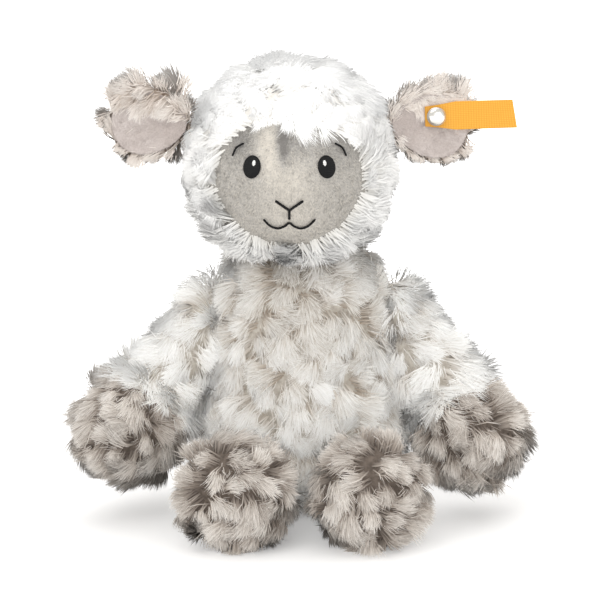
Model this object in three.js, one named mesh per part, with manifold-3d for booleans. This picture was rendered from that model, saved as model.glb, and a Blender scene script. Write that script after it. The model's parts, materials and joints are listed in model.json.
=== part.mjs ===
// Seated toy sheep: long-pile covers over stuffing, a short-pile face, and sewn joints.
// Millimetres, +Z up, face towards -Y, origin at the middle of the flat under the seat.
// Left and right are as seen by someone who looks at the face.

import * as THREE from 'three';
import { mergeVertices } from 'three/addons/utils/BufferGeometryUtils.js';
import Module from 'manifold-3d';

const wasm = await Module();
wasm.setup();

// Clearances and fabrics
const gap = 0.3;
const overrun = 3;
const pressedFlat = 0.5;
const weldDistance = 0.0001;
const longPileWall = 5;
const limbPileWall = 4;
const velourWall = 3;
const threadHeight = 0.8;
const stitchWidth = 1.3;

// Facet counts: what shows is finer than the linings and fillings
const roundSides = 28;
const roundRings = 14;
const innerSides = 14;
const innerRings = 9;
const limbSides = 18;
const limbFillingSides = 9;
const smallSides = 16;
const cupSides = 24;
const cupRings = 8;
const outlineSteps = 32;
const lineSteps = 8;
const shown = { arc: 5, curve: 5 };
const hidden = { arc: 3, curve: 3 };

// Torso: a pear whose top is a dome round the neck's centre
const torso = {
  bellyRadius: 49.5,
  bellyHeight: 44,
  domeRadius: 41,
  domeHeight: 96,
  domeEndAngle: 82,
  baseFullnessShare: 0.82,
  bellyFullnessShare: 0.46,
  flankFullnessShare: 0.36,
};

// Neck: the opening in the top of the torso and the gathered ring sewn round it
const neck = {
  openingRadius: 14,
  seamThickness: 1.4,
  seamInnerAngle: 24,
  seamOuterAngle: 32,
};

// Head: a ball of pile, a little to the left of the torso's axis as the toy sits
const head = {
  halfWidth: 49.5,
  halfDepth: 47,
  halfHeight: 47,
  sideShift: -6.5,
  forwardShift: 6,
  aboveDome: 35,
};

// Face: a rounder, flatter ball seen through an opening in the head cover
const face = {
  bulgeHalfWidth: 42,
  bulgeHalfDepth: 33,
  bulgeHalfHeight: 38,
  bulgeBack: 14.5,
  panelHalfWidth: 36,
  panelHalfHeight: 31,
  panelDrop: 5.5,
  taperShare: 0.06,
};

// Embroidery. Places are shares of the panel's half sizes, across and up from its middle
const eye = { halfWidth: 4.1, halfHeight: 5.4, lean: 13, placeShares: [0.486, 0.277] };
const glint = { halfWidth: 1.05, halfHeight: 1.75, inwardShare: 0.22, riseShare: 0.352 };
const brow = { arch: 1.6, innerShares: [0.592, 0.616], outerShares: [0.744, 0.416] };
const nose = { wingShares: [0.183, -0.219], tipShares: [0, -0.371], stemEndShares: [0, -0.523] };
const mouth = { endShares: [0.339, -0.526], lobeShares: [0.15, -0.671], middleShares: [0, -0.577] };

// Ears: egg-shaped cups with a velour lining let into the front
const ear = {
  length: 41,
  halfWidth: 18,
  thickness: 6.5,
  cup: 4.5,
  taperShare: 0.2,
  heightOnHead: 19,
  forwardShift: 6,
  headClearance: 1.4,
  leftDroop: 1,
  rightDroop: 5,
};
const lining = { endBorder: 3.5, sideBorder: 4.5, thickness: 3, proud: 0.5, outwardShift: 0.5 };

// Rivet and ribbon on the right ear
const rivet = {
  fromEarRoot: 23.6,
  aboveMiddle: 5,
  capRadius: 4.5,
  capHeight: 2,
  rimHeight: 0.6,
  postRadius: 1.5,
  washerRadius: 4.2,
  washerThickness: 0.8,
};
const ribbon = {
  width: 13.5,
  reach: 38.5,
  foldReach: 5.5,
  thickness: 0.5,
  layerGap: 0.5,
  standOff: 0.5,
  tilt: 2,
  slant: 8,
};

// Limbs: each grows from a round root to a cuff, then a ball-like paw or a flat-soled foot
const arm = {
  rootRadius: 17,
  cuffRadius: 18.5,
  cuffAt: 51,
  tipStep: 1,
  tipRadius: 25,
  tipWidestAt: 75,
  tipEnd: 99,
  wall: limbPileWall,
};
const leg = {
  rootRadius: 17,
  cuffRadius: 19.5,
  cuffAt: 17,
  tipStep: 1.5,
  tipRadius: 26.5,
  tipWidestAt: 34,
  tipEnd: 49,
  wall: limbPileWall,
};

// Shoulders: the arms lie against flats that lean in up the flanks, a little more than those do
const shoulder = { extraTilt: 0.59, inside: 1.35, forward: 2, aboveNeck: 1, flatDepth: 0.6 };
const armAim = { leftOutward: 37, rightOutward: 34, forward: 21 };

// Hips: ball ends of the legs in shallow hollows of the torso, at a turn from straight ahead
const hip = { turn: 28.4, outside: 11.5, outward: 8, lift: 6 };

// Tail
const tail = {
  rootRadius: 5,
  belly: 8.5,
  bellyAt: 14,
  length: 27,
  height: 34,
  outside: 3.2,
  drop: 48,
};

const fabricColours = {
  creamPile: 0xeee9e2,
  whitePile: 0xf6f4f1,
  taupePile: 0xa89c92,
  taupeVelour: 0xb9aea5,
  pinkVelour: 0xcfc0bc,
  blackThread: 0x17151a,
  whiteThread: 0xf2f1ee,
  goldRibbon: 0xf0b035,
  stuffing: 0xfafafa,
};

function fabric(colour) {
  return new THREE.MeshStandardMaterial({ color: colour, roughness: 0.95, metalness: 0 });
}

function thread(colour) {
  return new THREE.MeshStandardMaterial({ color: colour, roughness: 0.55, metalness: 0 });
}

function metal() {
  return new THREE.MeshStandardMaterial({ color: 0xd4d2cc, roughness: 0.18, metalness: 1 });
}

const radians = THREE.MathUtils.degToRad;

// A closed geometry as a solid that can be joined and cut
function solidOf(geometry) {
  const bare = geometry.clone();
  bare.deleteAttribute('normal');
  bare.deleteAttribute('uv');
  const welded = mergeVertices(bare, weldDistance);
  const corners = welded.index.array;
  const kept = [];
  for (let i = 0; i < corners.length; i += 3) {
    const [a, b, c] = corners.slice(i, i + 3);
    if (a !== b && b !== c && c !== a) kept.push(a, b, c);
  }
  return new wasm.Manifold(new wasm.Mesh({
    numProp: 3,
    vertProperties: new Float32Array(welded.attributes.position.array),
    triVerts: new Uint32Array(kept),
  }));
}

// A solid back as a geometry with flat-shaded faces
function geometryOf(solid) {
  const mesh = solid.getMesh();
  const geometry = new THREE.BufferGeometry();
  geometry.setAttribute('position', new THREE.BufferAttribute(mesh.vertProperties, 3));
  geometry.setIndex(new THREE.BufferAttribute(mesh.triVerts, 1));
  geometry.computeVertexNormals();
  return geometry;
}

function addPiece(group, name, solid, material) {
  const mesh = new THREE.Mesh(geometryOf(solid), material);
  mesh.name = name;
  group.add(mesh);
}

// Profile points run up the outside, as distance from the axis and height
function revolve(points, sides = roundSides) {
  return new THREE.LatheGeometry(points, sides).rotateX(Math.PI / 2);
}

function arcPoints(radius, centreHeight, fromAngle, toAngle, steps = shown.arc) {
  const points = [];
  for (let i = 0; i <= steps; i += 1) {
    const angle = radians(fromAngle + ((toAngle - fromAngle) * i) / steps);
    const reach = Math.max(0, radius * Math.cos(angle));
    points.push(new THREE.Vector2(reach, centreHeight + radius * Math.sin(angle)));
  }
  return points;
}

function curvePoints(start, startHandle, endHandle, end, steps = shown.curve) {
  return new THREE.CubicBezierCurve(start, startHandle, endHandle, end).getPoints(steps);
}

// Joins stretches of a profile, leaving out repeated meeting points
function joinStretches(...stretches) {
  const points = [];
  for (const point of stretches.flat()) {
    const last = points[points.length - 1];
    if (!last || last.distanceTo(point) > weldDistance) points.push(point);
  }
  return points;
}

// A ball whose flats stay outside the radius, for hollows that a round end turns in
function ballAround(radius, centre) {
  const outer = radius / (Math.cos(Math.PI / roundSides) * Math.cos(Math.PI / (2 * roundRings)));
  return new THREE.SphereGeometry(outer, roundSides, roundRings)
    .rotateX(Math.PI / 2)
    .translate(centre.x, centre.y, centre.z);
}

function ellipsoid(halfSizes, centre, sides = roundSides, rings = roundRings) {
  return new THREE.SphereGeometry(1, sides, rings)
    .rotateX(Math.PI / 2)
    .scale(halfSizes.x, halfSizes.y, halfSizes.z)
    .translate(centre.x, centre.y, centre.z);
}

// A block that fills the side of a plane that its normal points to
function blockBeyond(normal, offset, size) {
  const turn = new THREE.Quaternion().setFromUnitVectors(new THREE.Vector3(0, 0, 1), normal);
  const middle = normal.clone().multiplyScalar(offset + size / 2);
  return new THREE.BoxGeometry(size, size, size)
    .applyQuaternion(turn)
    .translate(middle.x, middle.y, middle.z);
}

// A tool given in the toy's own frame, cut from a piece that a group places
function cutInPlace(solid, group, tool) {
  group.updateWorldMatrix(true, false);
  const local = tool.clone().applyMatrix4(group.matrixWorld.clone().invert());
  return solid.subtract(solidOf(local));
}

// An outline in the face's plane, drawn out from y = 0 towards the viewer
function drawForward(outline, depth) {
  return new THREE.ExtrudeGeometry(new THREE.Shape(outline), { depth, bevelEnabled: false, steps: 1 })
    .rotateX(Math.PI / 2);
}

// A stitched line: the outline of a band of even width along a curve, with round ends
function bandOutline(curve, width, steps = lineSteps) {
  const left = [];
  const right = [];
  for (let i = 0; i <= steps; i += 1) {
    const point = curve.getPoint(i / steps);
    const along = curve.getTangent(i / steps);
    const across = new THREE.Vector2(-along.y, along.x).multiplyScalar(width / 2);
    left.push(point.clone().add(across));
    right.unshift(point.clone().sub(across));
  }
  const head = curve.getPoint(1).add(curve.getTangent(1).multiplyScalar(width / 2));
  const foot = curve.getPoint(0).sub(curve.getTangent(0).multiplyScalar(width / 2));
  return [...left, head, ...right, foot];
}

function ovalOutline(halfWidth, halfHeight, centre, lean, steps = smallSides) {
  const outline = [];
  for (let i = 0; i < steps; i += 1) {
    const angle = (2 * Math.PI * i) / steps;
    const point = new THREE.Vector2(halfWidth * Math.cos(angle), halfHeight * Math.sin(angle));
    outline.push(point.rotateAround(new THREE.Vector2(0, 0), radians(lean)).add(centre));
  }
  return outline;
}

// Torso

function torsoProfile(inset, steps = shown) {
  const belly = torso.bellyRadius - inset;
  const dome = torso.domeRadius - inset;
  const base = inset - pressedFlat;
  const endAngle = radians(torso.domeEndAngle);
  const join = new THREE.Vector2(
    dome * Math.sin(endAngle),
    torso.domeHeight + dome * Math.cos(endAngle),
  );
  const downwards = new THREE.Vector2(Math.cos(endAngle), -Math.sin(endAngle));
  const flank = (join.y - torso.bellyHeight) * torso.flankFullnessShare;
  const seat = curvePoints(
    new THREE.Vector2(0, base),
    new THREE.Vector2(belly * torso.baseFullnessShare, base),
    new THREE.Vector2(belly, base + (torso.bellyHeight - base) * torso.bellyFullnessShare),
    new THREE.Vector2(belly, torso.bellyHeight),
    steps.curve,
  );
  const side = curvePoints(
    new THREE.Vector2(belly, torso.bellyHeight),
    new THREE.Vector2(belly, torso.bellyHeight + flank),
    join.clone().addScaledVector(downwards, flank),
    join,
    steps.curve,
  );
  const top = arcPoints(dome, torso.domeHeight, 90 - torso.domeEndAngle, 90, steps.arc);
  return joinStretches(seat, side, top);
}

const neckCentre = new THREE.Vector3(0, 0, torso.domeHeight);
const headCentreHeight = torso.domeHeight + torso.domeRadius + head.aboveDome;
const cutterSize = 2 * (headCentreHeight + head.halfHeight);
const belowFloor = blockBeyond(new THREE.Vector3(0, 0, -1), 0, cutterSize);

// The flank's own lean is that of a line that touches both belly and dome
const flankLean = Math.asin((torso.bellyRadius - torso.domeRadius) / (torso.domeHeight - torso.bellyHeight));
const flatTilt = flankLean + radians(shoulder.extraTilt);

// The plane that an arm lies on, cut a little way into the torso's outline
function flankPlane(side) {
  const normal = new THREE.Vector3(side * Math.cos(flatTilt), 0, Math.sin(flatTilt));
  const reaches = torsoProfile(0).map((point) => (
    point.x * Math.cos(flatTilt) + point.y * Math.sin(flatTilt)
  ));
  return { normal, offset: Math.max(...reaches) - shoulder.flatDepth };
}

// The shoulder's centre lies inside the flat that its arm is cut by
function shoulderCentre(side) {
  const height = torso.domeHeight + shoulder.aboveNeck;
  const reach = flankPlane(1).offset - shoulder.inside - height * Math.sin(flatTilt);
  return new THREE.Vector3((side * reach) / Math.cos(flatTilt), -shoulder.forward, height);
}

function radiusAtHeight(height) {
  const points = torsoProfile(0);
  const above = points.findIndex((point) => point.y > height);
  const low = points[above - 1];
  const high = points[above];
  return THREE.MathUtils.mapLinear(height, low.y, high.y, low.x, high.x);
}

// The hip is as high as lets the foot's widest part press on the floor
const hipLift = radians(hip.lift);
const hipHeight = leg.tipRadius * Math.cos(hipLift) - leg.tipWidestAt * Math.sin(hipLift) - pressedFlat;

function hipCentre(side) {
  const reach = radiusAtHeight(hipHeight) + hip.outside;
  const turn = radians(hip.turn);
  return new THREE.Vector3(side * reach * Math.sin(turn), -reach * Math.cos(turn), hipHeight);
}

const tailCentre = new THREE.Vector3(0, radiusAtHeight(tail.height) + tail.outside, tail.height);

function neckPlug(radius) {
  return new THREE.CylinderGeometry(radius, radius, torso.domeRadius + overrun, smallSides)
    .rotateX(Math.PI / 2)
    .translate(0, 0, torso.domeHeight + (torso.domeRadius + overrun) / 2);
}

function bodyCover() {
  let cover = solidOf(revolve(torsoProfile(0)))
    .subtract(solidOf(revolve(torsoProfile(longPileWall, hidden), innerSides)))
    .subtract(solidOf(neckPlug(neck.openingRadius)))
    .subtract(solidOf(belowFloor))
    .subtract(solidOf(ballAround(tail.rootRadius + gap, tailCentre)));
  for (const side of [-1, 1]) {
    const flank = flankPlane(side);
    cover = cover
      .subtract(solidOf(ballAround(leg.rootRadius + gap, hipCentre(side))))
      .subtract(solidOf(blockBeyond(flank.normal, flank.offset, cutterSize)));
  }
  return cover;
}

function bodyFilling() {
  const filling = solidOf(revolve(torsoProfile(longPileWall + gap, hidden), innerSides));
  const insideDome = new THREE.Vector3().setScalar(torso.domeRadius - gap);
  const neckStuffing = solidOf(neckPlug(neck.openingRadius - gap))
    .intersect(solidOf(ellipsoid(insideDome, neckCentre)));
  return filling
    .add(neckStuffing)
    .subtract(solidOf(ballAround(leg.rootRadius + gap, hipCentre(-1))))
    .subtract(solidOf(ballAround(leg.rootRadius + gap, hipCentre(1))));
}

// Neck seam: a band on the dome, inside the head's hollow

const seamInner = torso.domeRadius + gap;
const seamOuter = seamInner + neck.seamThickness;
const socketRadius = seamOuter + gap;

function neckSeam() {
  const low = 90 - neck.seamOuterAngle;
  const high = 90 - neck.seamInnerAngle;
  const outside = arcPoints(seamOuter, 0, low, high, hidden.arc);
  const inside = arcPoints(seamInner, 0, high, low, hidden.arc);
  return solidOf(revolve([...outside, ...inside, outside[0]], cupSides));
}

// Head, in a frame at its middle

const headMiddle = new THREE.Vector3(head.sideShift, -head.forwardShift, headCentreHeight);
const headHalf = new THREE.Vector3(head.halfWidth, head.halfDepth, head.halfHeight);
const origin = new THREE.Vector3(0, 0, 0);
const faceMiddle = new THREE.Vector3(0, -face.bulgeBack, -face.panelDrop);
const faceHalf = new THREE.Vector3(face.bulgeHalfWidth, face.bulgeHalfDepth, face.bulgeHalfHeight);

function faceBall(growth, sides = roundSides, rings = roundRings) {
  return solidOf(ellipsoid(faceHalf.clone().addScalar(growth), faceMiddle, sides, rings));
}

function headHollow(wall) {
  return solidOf(ellipsoid(headHalf.clone().subScalar(wall), origin, innerSides, innerRings));
}

// The face opening: an oval a little wider at the brow, running forward from the face's middle
function facePrism(growth) {
  const outline = [];
  for (let i = 0; i < outlineSteps; i += 1) {
    const angle = (2 * Math.PI * i) / outlineSteps;
    const widening = 1 + face.taperShare * Math.sin(angle);
    outline.push(new THREE.Vector2(
      (face.panelHalfWidth + growth) * Math.cos(angle) * widening,
      (face.panelHalfHeight + growth) * Math.sin(angle),
    ));
  }
  return solidOf(drawForward(outline, head.halfDepth + overrun)
    .translate(faceMiddle.x, faceMiddle.y, faceMiddle.z));
}

function socket() {
  return solidOf(ballAround(socketRadius, neckCentre.clone().sub(headMiddle)));
}

function headCover() {
  return solidOf(ellipsoid(headHalf, origin))
    .subtract(headHollow(longPileWall))
    .subtract(facePrism(gap))
    .subtract(socket());
}

function facePanel() {
  return faceBall(0).subtract(faceBall(-velourWall, innerSides, innerRings)).intersect(facePrism(0));
}

function headFilling() {
  const faceFilling = faceBall(-velourWall - gap, innerSides, innerRings);
  return headHollow(longPileWall + gap)
    .subtract(facePrism(gap).subtract(faceFilling))
    .add(faceFilling.intersect(facePrism(0)))
    .subtract(socket());
}

// Embroidery stands on the face by the height of its thread

function drawnThroughFace(outline) {
  return solidOf(drawForward(outline, head.halfDepth + overrun).translate(0, faceMiddle.y, 0));
}

function stitched(outline) {
  const onFace = faceBall(gap + threadHeight).subtract(faceBall(gap));
  return drawnThroughFace(outline).intersect(onFace);
}

function onPanel([across, up], side = 1) {
  return new THREE.Vector2(
    side * across * face.panelHalfWidth,
    faceMiddle.z + up * face.panelHalfHeight,
  );
}

function eyeOutline(side, growth) {
  const centre = onPanel(eye.placeShares, side);
  return ovalOutline(eye.halfWidth + growth, eye.halfHeight + growth, centre, side * eye.lean);
}

function glintOutline(side, growth) {
  const inward = side * glint.inwardShare * eye.halfWidth;
  const rise = glint.riseShare * eye.halfHeight;
  const centre = onPanel(eye.placeShares, side).add(new THREE.Vector2(-inward, rise));
  return ovalOutline(glint.halfWidth + growth, glint.halfHeight + growth, centre, side * eye.lean);
}

function eyePad(side) {
  return stitched(eyeOutline(side, 0)).subtract(drawnThroughFace(glintOutline(side, gap)));
}

function browStitch(side) {
  const inner = onPanel(brow.innerShares, side);
  const outer = onPanel(brow.outerShares, side);
  const bow = new THREE.Vector2(side * brow.arch, brow.arch);
  const middle = inner.clone().lerp(outer, 1 / 2).add(bow);
  return stitched(bandOutline(new THREE.QuadraticBezierCurve(inner, middle, outer), stitchWidth));
}

function noseStitch() {
  const tip = onPanel(nose.tipShares);
  const ends = [onPanel(nose.wingShares, -1), onPanel(nose.wingShares), onPanel(nose.stemEndShares)];
  const [left, right, stem] = ends.map((end) => (
    stitched(bandOutline(new THREE.LineCurve(tip, end), stitchWidth, 1))
  ));
  return left.add(right).add(stem);
}

function mouthStitch() {
  const curve = new THREE.SplineCurve([
    onPanel(mouth.endShares, -1),
    onPanel(mouth.lobeShares, -1),
    onPanel(mouth.middleShares),
    onPanel(mouth.lobeShares),
    onPanel(mouth.endShares),
  ]);
  return stitched(bandOutline(curve, stitchWidth, smallSides));
}

// Ears, in a frame at the seam on the head with +X pointing outwards

// An egg-shaped cup: a flattened ball, narrower at its root, whose rim comes forward
function eggCup(halfLength, halfWidth, thickness, cup, middle) {
  const geometry = new THREE.SphereGeometry(1, cupSides, cupRings);
  const position = geometry.attributes.position;
  for (let i = 0; i < position.count; i += 1) {
    const x = position.getX(i);
    const y = position.getY(i);
    const z = position.getZ(i);
    const rim = x * x + z * z;
    position.setXYZ(
      i,
      middle.x + halfLength * x,
      middle.y + (thickness / 2) * y - cup * rim,
      middle.z + halfWidth * z * (1 + ear.taperShare * x),
    );
  }
  return geometry;
}

const earHalfLength = ear.length / 2;
const earMiddle = new THREE.Vector3(earHalfLength, ear.cup, 0);
const rivetPlace = new THREE.Vector3(rivet.fromEarRoot, ear.cup, rivet.aboveMiddle);
const liningHalfLength = earHalfLength - lining.endBorder;
const liningHalfWidth = ear.halfWidth - lining.sideBorder;
const liningCup = ear.cup * (liningHalfLength / earHalfLength) ** 2;
const liningForward = (ear.thickness - lining.thickness) / 2 + lining.proud;
const liningMiddle = new THREE.Vector3(earMiddle.x + lining.outwardShift, earMiddle.y - liningForward, 0);

function liningCut(growth) {
  return solidOf(eggCup(
    liningHalfLength + growth,
    liningHalfWidth + growth,
    lining.thickness + 2 * growth,
    liningCup,
    liningMiddle,
  ));
}

function rivetHole() {
  const radius = rivet.postRadius + gap;
  const length = ear.thickness + 2 * overrun;
  return solidOf(new THREE.CylinderGeometry(radius, radius, length, smallSides)
    .translate(rivetPlace.x, rivetPlace.y, rivetPlace.z));
}

function earBack() {
  return solidOf(eggCup(earHalfLength, ear.halfWidth, ear.thickness, ear.cup, earMiddle))
    .subtract(liningCut(gap));
}

// Rivet and ribbon, in a frame on the rivet's axis with +X along the ribbon

// How far forward a cup's front lies at a distance from its middle, across the ear
function cupForward(distance, halfWidth, thickness, cup) {
  const share = Math.min(1, distance / halfWidth);
  return (thickness / 2) * Math.sqrt(1 - share * share) + cup * share * share;
}

// The farthest forward that lining or ear reaches within a distance from the rivet
function earForward(distance) {
  const offCentre = Math.hypot(rivet.fromEarRoot - earMiddle.x, rivet.aboveMiddle);
  const narrowLining = Math.min(liningHalfLength, liningHalfWidth);
  const narrowEar = Math.min(earHalfLength, ear.halfWidth);
  const reaches = [];
  for (let i = 0; i <= outlineSteps; i += 1) {
    const within = offCentre + (distance * i) / outlineSteps;
    reaches.push(cupForward(within, narrowLining, lining.thickness, liningCup) + liningForward);
    reaches.push(cupForward(within, narrowEar, ear.thickness, ear.cup));
  }
  return Math.max(...reaches);
}

// The ribbon's back face clears the ear out to its edges, wherever the ribbon is turned
function ribbonBack(x) {
  return -earForward(Math.hypot(x, ribbon.width / 2)) - ribbon.standOff;
}

const ribbonDepth = 2 * ribbon.thickness + ribbon.layerGap;
const ribbonUnderCap = ribbonBack(rivet.capRadius) - ribbonDepth;

// One layer's line seen from above, at a depth in front of the ribbon's back face
function ribbonLine(depth, steps = lineSteps) {
  const points = [];
  for (let i = 0; i <= steps; i += 1) {
    const x = (ribbon.reach * i) / steps;
    points.push(new THREE.Vector2(x, ribbonBack(x) - depth));
  }
  return points;
}

// The ribbon runs out, and its other layer comes back, round a fold on the near side of the rivet
function ribbonTag() {
  const foldRadius = ribbonDepth / 2;
  const slot = ribbon.layerGap / 2;
  const foldCentre = new THREE.Vector2(-ribbon.foldReach + foldRadius, ribbonBack(0) - foldRadius);
  const fold = (radius) => {
    const points = [];
    for (let i = 0; i <= shown.arc; i += 1) {
      const angle = Math.PI / 2 + (Math.PI * i) / shown.arc;
      points.push(new THREE.Vector2(
        foldCentre.x + radius * Math.cos(angle),
        foldCentre.y + radius * Math.sin(angle),
      ));
    }
    return points;
  };
  const outside = [
    ...ribbonLine(0).reverse(),
    ...fold(foldRadius),
    ...ribbonLine(ribbonDepth),
  ];
  const inside = [
    ...ribbonLine(ribbonDepth - ribbon.thickness).reverse(),
    ...fold(slot).reverse(),
    ...ribbonLine(ribbon.thickness),
  ];
  const strip = new THREE.ExtrudeGeometry(new THREE.Shape([...outside, ...inside]), {
    depth: ribbon.width,
    bevelEnabled: false,
    steps: 1,
  }).translate(0, 0, -ribbon.width / 2);
  const hole = new THREE.CylinderGeometry(
    rivet.postRadius + gap,
    rivet.postRadius + gap,
    ribbonDepth + 2 * overrun,
    smallSides,
  ).translate(0, ribbonBack(0) - ribbonDepth / 2, 0);
  const cutNormal = new THREE.Vector3(Math.cos(radians(ribbon.slant)), 0, Math.sin(radians(ribbon.slant)));
  const endCut = blockBeyond(cutNormal, 0, ribbon.reach)
    .translate(ribbon.reach - (ribbon.width / 2) * Math.tan(radians(ribbon.slant)), 0, 0);
  return solidOf(strip).subtract(solidOf(hole)).subtract(solidOf(endCut));
}

function rivetBody() {
  const capBack = gap - ribbonUnderCap;
  const capTop = capBack + rivet.rimHeight + rivet.capHeight;
  const postEnd = -(ear.thickness / 2) - gap - rivet.washerThickness;
  const domeDepth = rivet.capHeight;
  const dome = [];
  for (let i = 0; i <= shown.arc; i += 1) {
    const angle = (Math.PI / 2) * (i / shown.arc);
    dome.push(new THREE.Vector2(
      rivet.capRadius * Math.cos(angle),
      capTop - domeDepth + domeDepth * Math.sin(angle),
    ));
  }
  const profile = [
    new THREE.Vector2(0, postEnd),
    new THREE.Vector2(rivet.postRadius, postEnd),
    new THREE.Vector2(rivet.postRadius, capBack),
    new THREE.Vector2(rivet.capRadius, capBack),
    ...dome.slice(0, -1),
    new THREE.Vector2(0, capTop),
  ];
  return solidOf(new THREE.LatheGeometry(profile, smallSides).rotateX(Math.PI));
}

function rivetWasher() {
  const front = -(ear.thickness / 2) - gap;
  const back = front - rivet.washerThickness;
  const bore = rivet.postRadius + gap;
  const profile = [
    new THREE.Vector2(bore, back),
    new THREE.Vector2(rivet.washerRadius, back),
    new THREE.Vector2(rivet.washerRadius, front),
    new THREE.Vector2(bore, front),
    new THREE.Vector2(bore, back),
  ];
  return solidOf(new THREE.LatheGeometry(profile, smallSides).rotateX(Math.PI));
}

// Limbs, in a frame at the root's centre with +Z running to the paw or foot

function limbSide(limb, inset, steps) {
  const root = limb.rootRadius - inset;
  const cuff = limb.cuffRadius - inset;
  const round = arcPoints(root, 0, -90, 0, steps.arc);
  const side = curvePoints(
    new THREE.Vector2(root, 0),
    new THREE.Vector2(root, limb.cuffAt / 2),
    new THREE.Vector2(cuff, limb.cuffAt / 2),
    new THREE.Vector2(cuff, limb.cuffAt),
    hidden.curve,
  );
  return joinStretches(round, side);
}

function tipSide(limb, inset, start, startRadius, steps) {
  const narrow = startRadius - inset;
  const wide = limb.tipRadius - inset;
  const swell = (limb.tipWidestAt - start) / 2;
  const side = curvePoints(
    new THREE.Vector2(narrow, start),
    new THREE.Vector2((narrow + wide) / 2, start + swell / 2),
    new THREE.Vector2(wide, limb.tipWidestAt - swell),
    new THREE.Vector2(wide, limb.tipWidestAt),
    hidden.curve,
  );
  const depth = limb.tipEnd - inset - limb.tipWidestAt;
  const end = arcPoints(1, 0, 0, 90, steps.arc).map((point) => (
    new THREE.Vector2(point.x * wide, limb.tipWidestAt + point.y * depth)
  ));
  return joinStretches(side, end);
}

function limbCover(limb) {
  const outside = limbSide(limb, 0, shown);
  const inside = limbSide(limb, limb.wall, hidden);
  return solidOf(revolve([...outside, ...inside.reverse()], limbSides));
}

function tipCover(limb) {
  const start = limb.cuffAt + gap;
  const startRadius = limb.cuffRadius + limb.tipStep;
  const outside = tipSide(limb, 0, start, startRadius, shown);
  const inside = tipSide(limb, limb.wall, start, startRadius, hidden);
  return solidOf(revolve([...outside, ...inside.reverse(), outside[0]], limbSides));
}

function limbFilling(limb) {
  const inset = limb.wall + gap;
  const side = limbSide(limb, inset, hidden);
  const tip = tipSide(limb, inset, limb.cuffAt, limb.cuffRadius, hidden);
  return solidOf(revolve(joinStretches(side, tip), limbFillingSides));
}

function aimedGroup(position, direction) {
  const group = new THREE.Group();
  group.position.copy(position);
  group.quaternion.setFromUnitVectors(new THREE.Vector3(0, 0, 1), direction.clone().normalize());
  return group;
}

function armDirection(outwardAngle, side) {
  const outward = radians(outwardAngle);
  const forward = radians(armAim.forward);
  return new THREE.Vector3(
    side * Math.sin(outward),
    -Math.cos(outward) * Math.sin(forward),
    -Math.cos(outward) * Math.cos(forward),
  );
}

function legDirection(side) {
  const outward = radians(hip.outward);
  return new THREE.Vector3(
    side * Math.sin(outward),
    -Math.cos(outward) * Math.cos(hipLift),
    Math.sin(hipLift),
  );
}

// Tail, in a frame at its root with +Z running to its tip

function tailSolid() {
  const root = arcPoints(tail.rootRadius, 0, -90, 0);
  const side = curvePoints(
    new THREE.Vector2(tail.rootRadius, 0),
    new THREE.Vector2(tail.rootRadius, tail.bellyAt / 2),
    new THREE.Vector2(tail.belly, tail.bellyAt / 2),
    new THREE.Vector2(tail.belly, tail.bellyAt),
    hidden.curve,
  );
  const depth = tail.length - tail.rootRadius - tail.bellyAt;
  const end = arcPoints(1, 0, 0, 90).map((point) => (
    new THREE.Vector2(point.x * tail.belly, tail.bellyAt + point.y * depth)
  ));
  return solidOf(revolve(joinStretches(root, side, end), smallSides));
}

// Assembly

const creamPile = fabric(fabricColours.creamPile);
const whitePile = fabric(fabricColours.whitePile);
const taupePile = fabric(fabricColours.taupePile);
const stuffing = fabric(fabricColours.stuffing);

function addTorso(sheep) {
  addPiece(sheep, 'body_cover', bodyCover(), creamPile);
  addPiece(sheep, 'body_filling', bodyFilling(), stuffing);
  const seam = new THREE.Group();
  seam.position.copy(neckCentre);
  addPiece(seam, 'neck_seam', neckSeam(), creamPile);
  sheep.add(seam);
}

function addFace(headGroup) {
  addPiece(headGroup, 'face_panel', facePanel(), fabric(fabricColours.taupeVelour));
  const blackThread = thread(fabricColours.blackThread);
  const whiteThread = thread(fabricColours.whiteThread);
  for (const [sideName, side] of [['left', -1], ['right', 1]]) {
    addPiece(headGroup, `eye_${sideName}`, eyePad(side), blackThread);
    addPiece(headGroup, `eye_glint_${sideName}`, stitched(glintOutline(side, 0)), whiteThread);
    addPiece(headGroup, `brow_${sideName}`, browStitch(side), blackThread);
  }
  addPiece(headGroup, 'nose_stitch', noseStitch(), blackThread);
  addPiece(headGroup, 'mouth_stitch', mouthStitch(), blackThread);
}

// The ear's root stands off the side of the head by its clearance
function earSeam(side) {
  const level = ear.heightOnHead / head.halfHeight;
  const fore = ear.forwardShift / head.halfDepth;
  const reach = head.halfWidth * Math.sqrt(1 - level * level - fore * fore);
  const outward = reach + ear.headClearance;
  return new THREE.Vector3(side * outward, -ear.forwardShift, ear.heightOnHead);
}

// The head with a clearance, in the frame of an ear that droops
function headByEar(droop) {
  const seam = earSeam(1);
  return solidOf(ellipsoid(headHalf.clone().addScalar(gap), origin)
    .translate(-seam.x, -seam.y, -seam.z)
    .rotateY(-radians(droop)));
}

function addEar(headGroup, sideName, side, droop, hasRivet) {
  const group = new THREE.Group();
  group.position.copy(earSeam(side));
  group.rotation.y = radians(side * droop);
  const outward = new THREE.Group();
  outward.scale.x = side;
  const away = hasRivet ? headByEar(droop).add(rivetHole()) : headByEar(droop);
  addPiece(outward, `ear_back_${sideName}`, earBack().subtract(away), taupePile);
  addPiece(outward, `ear_lining_${sideName}`, liningCut(0).subtract(away), fabric(fabricColours.pinkVelour));
  group.add(outward);
  headGroup.add(group);
  return outward;
}

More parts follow.
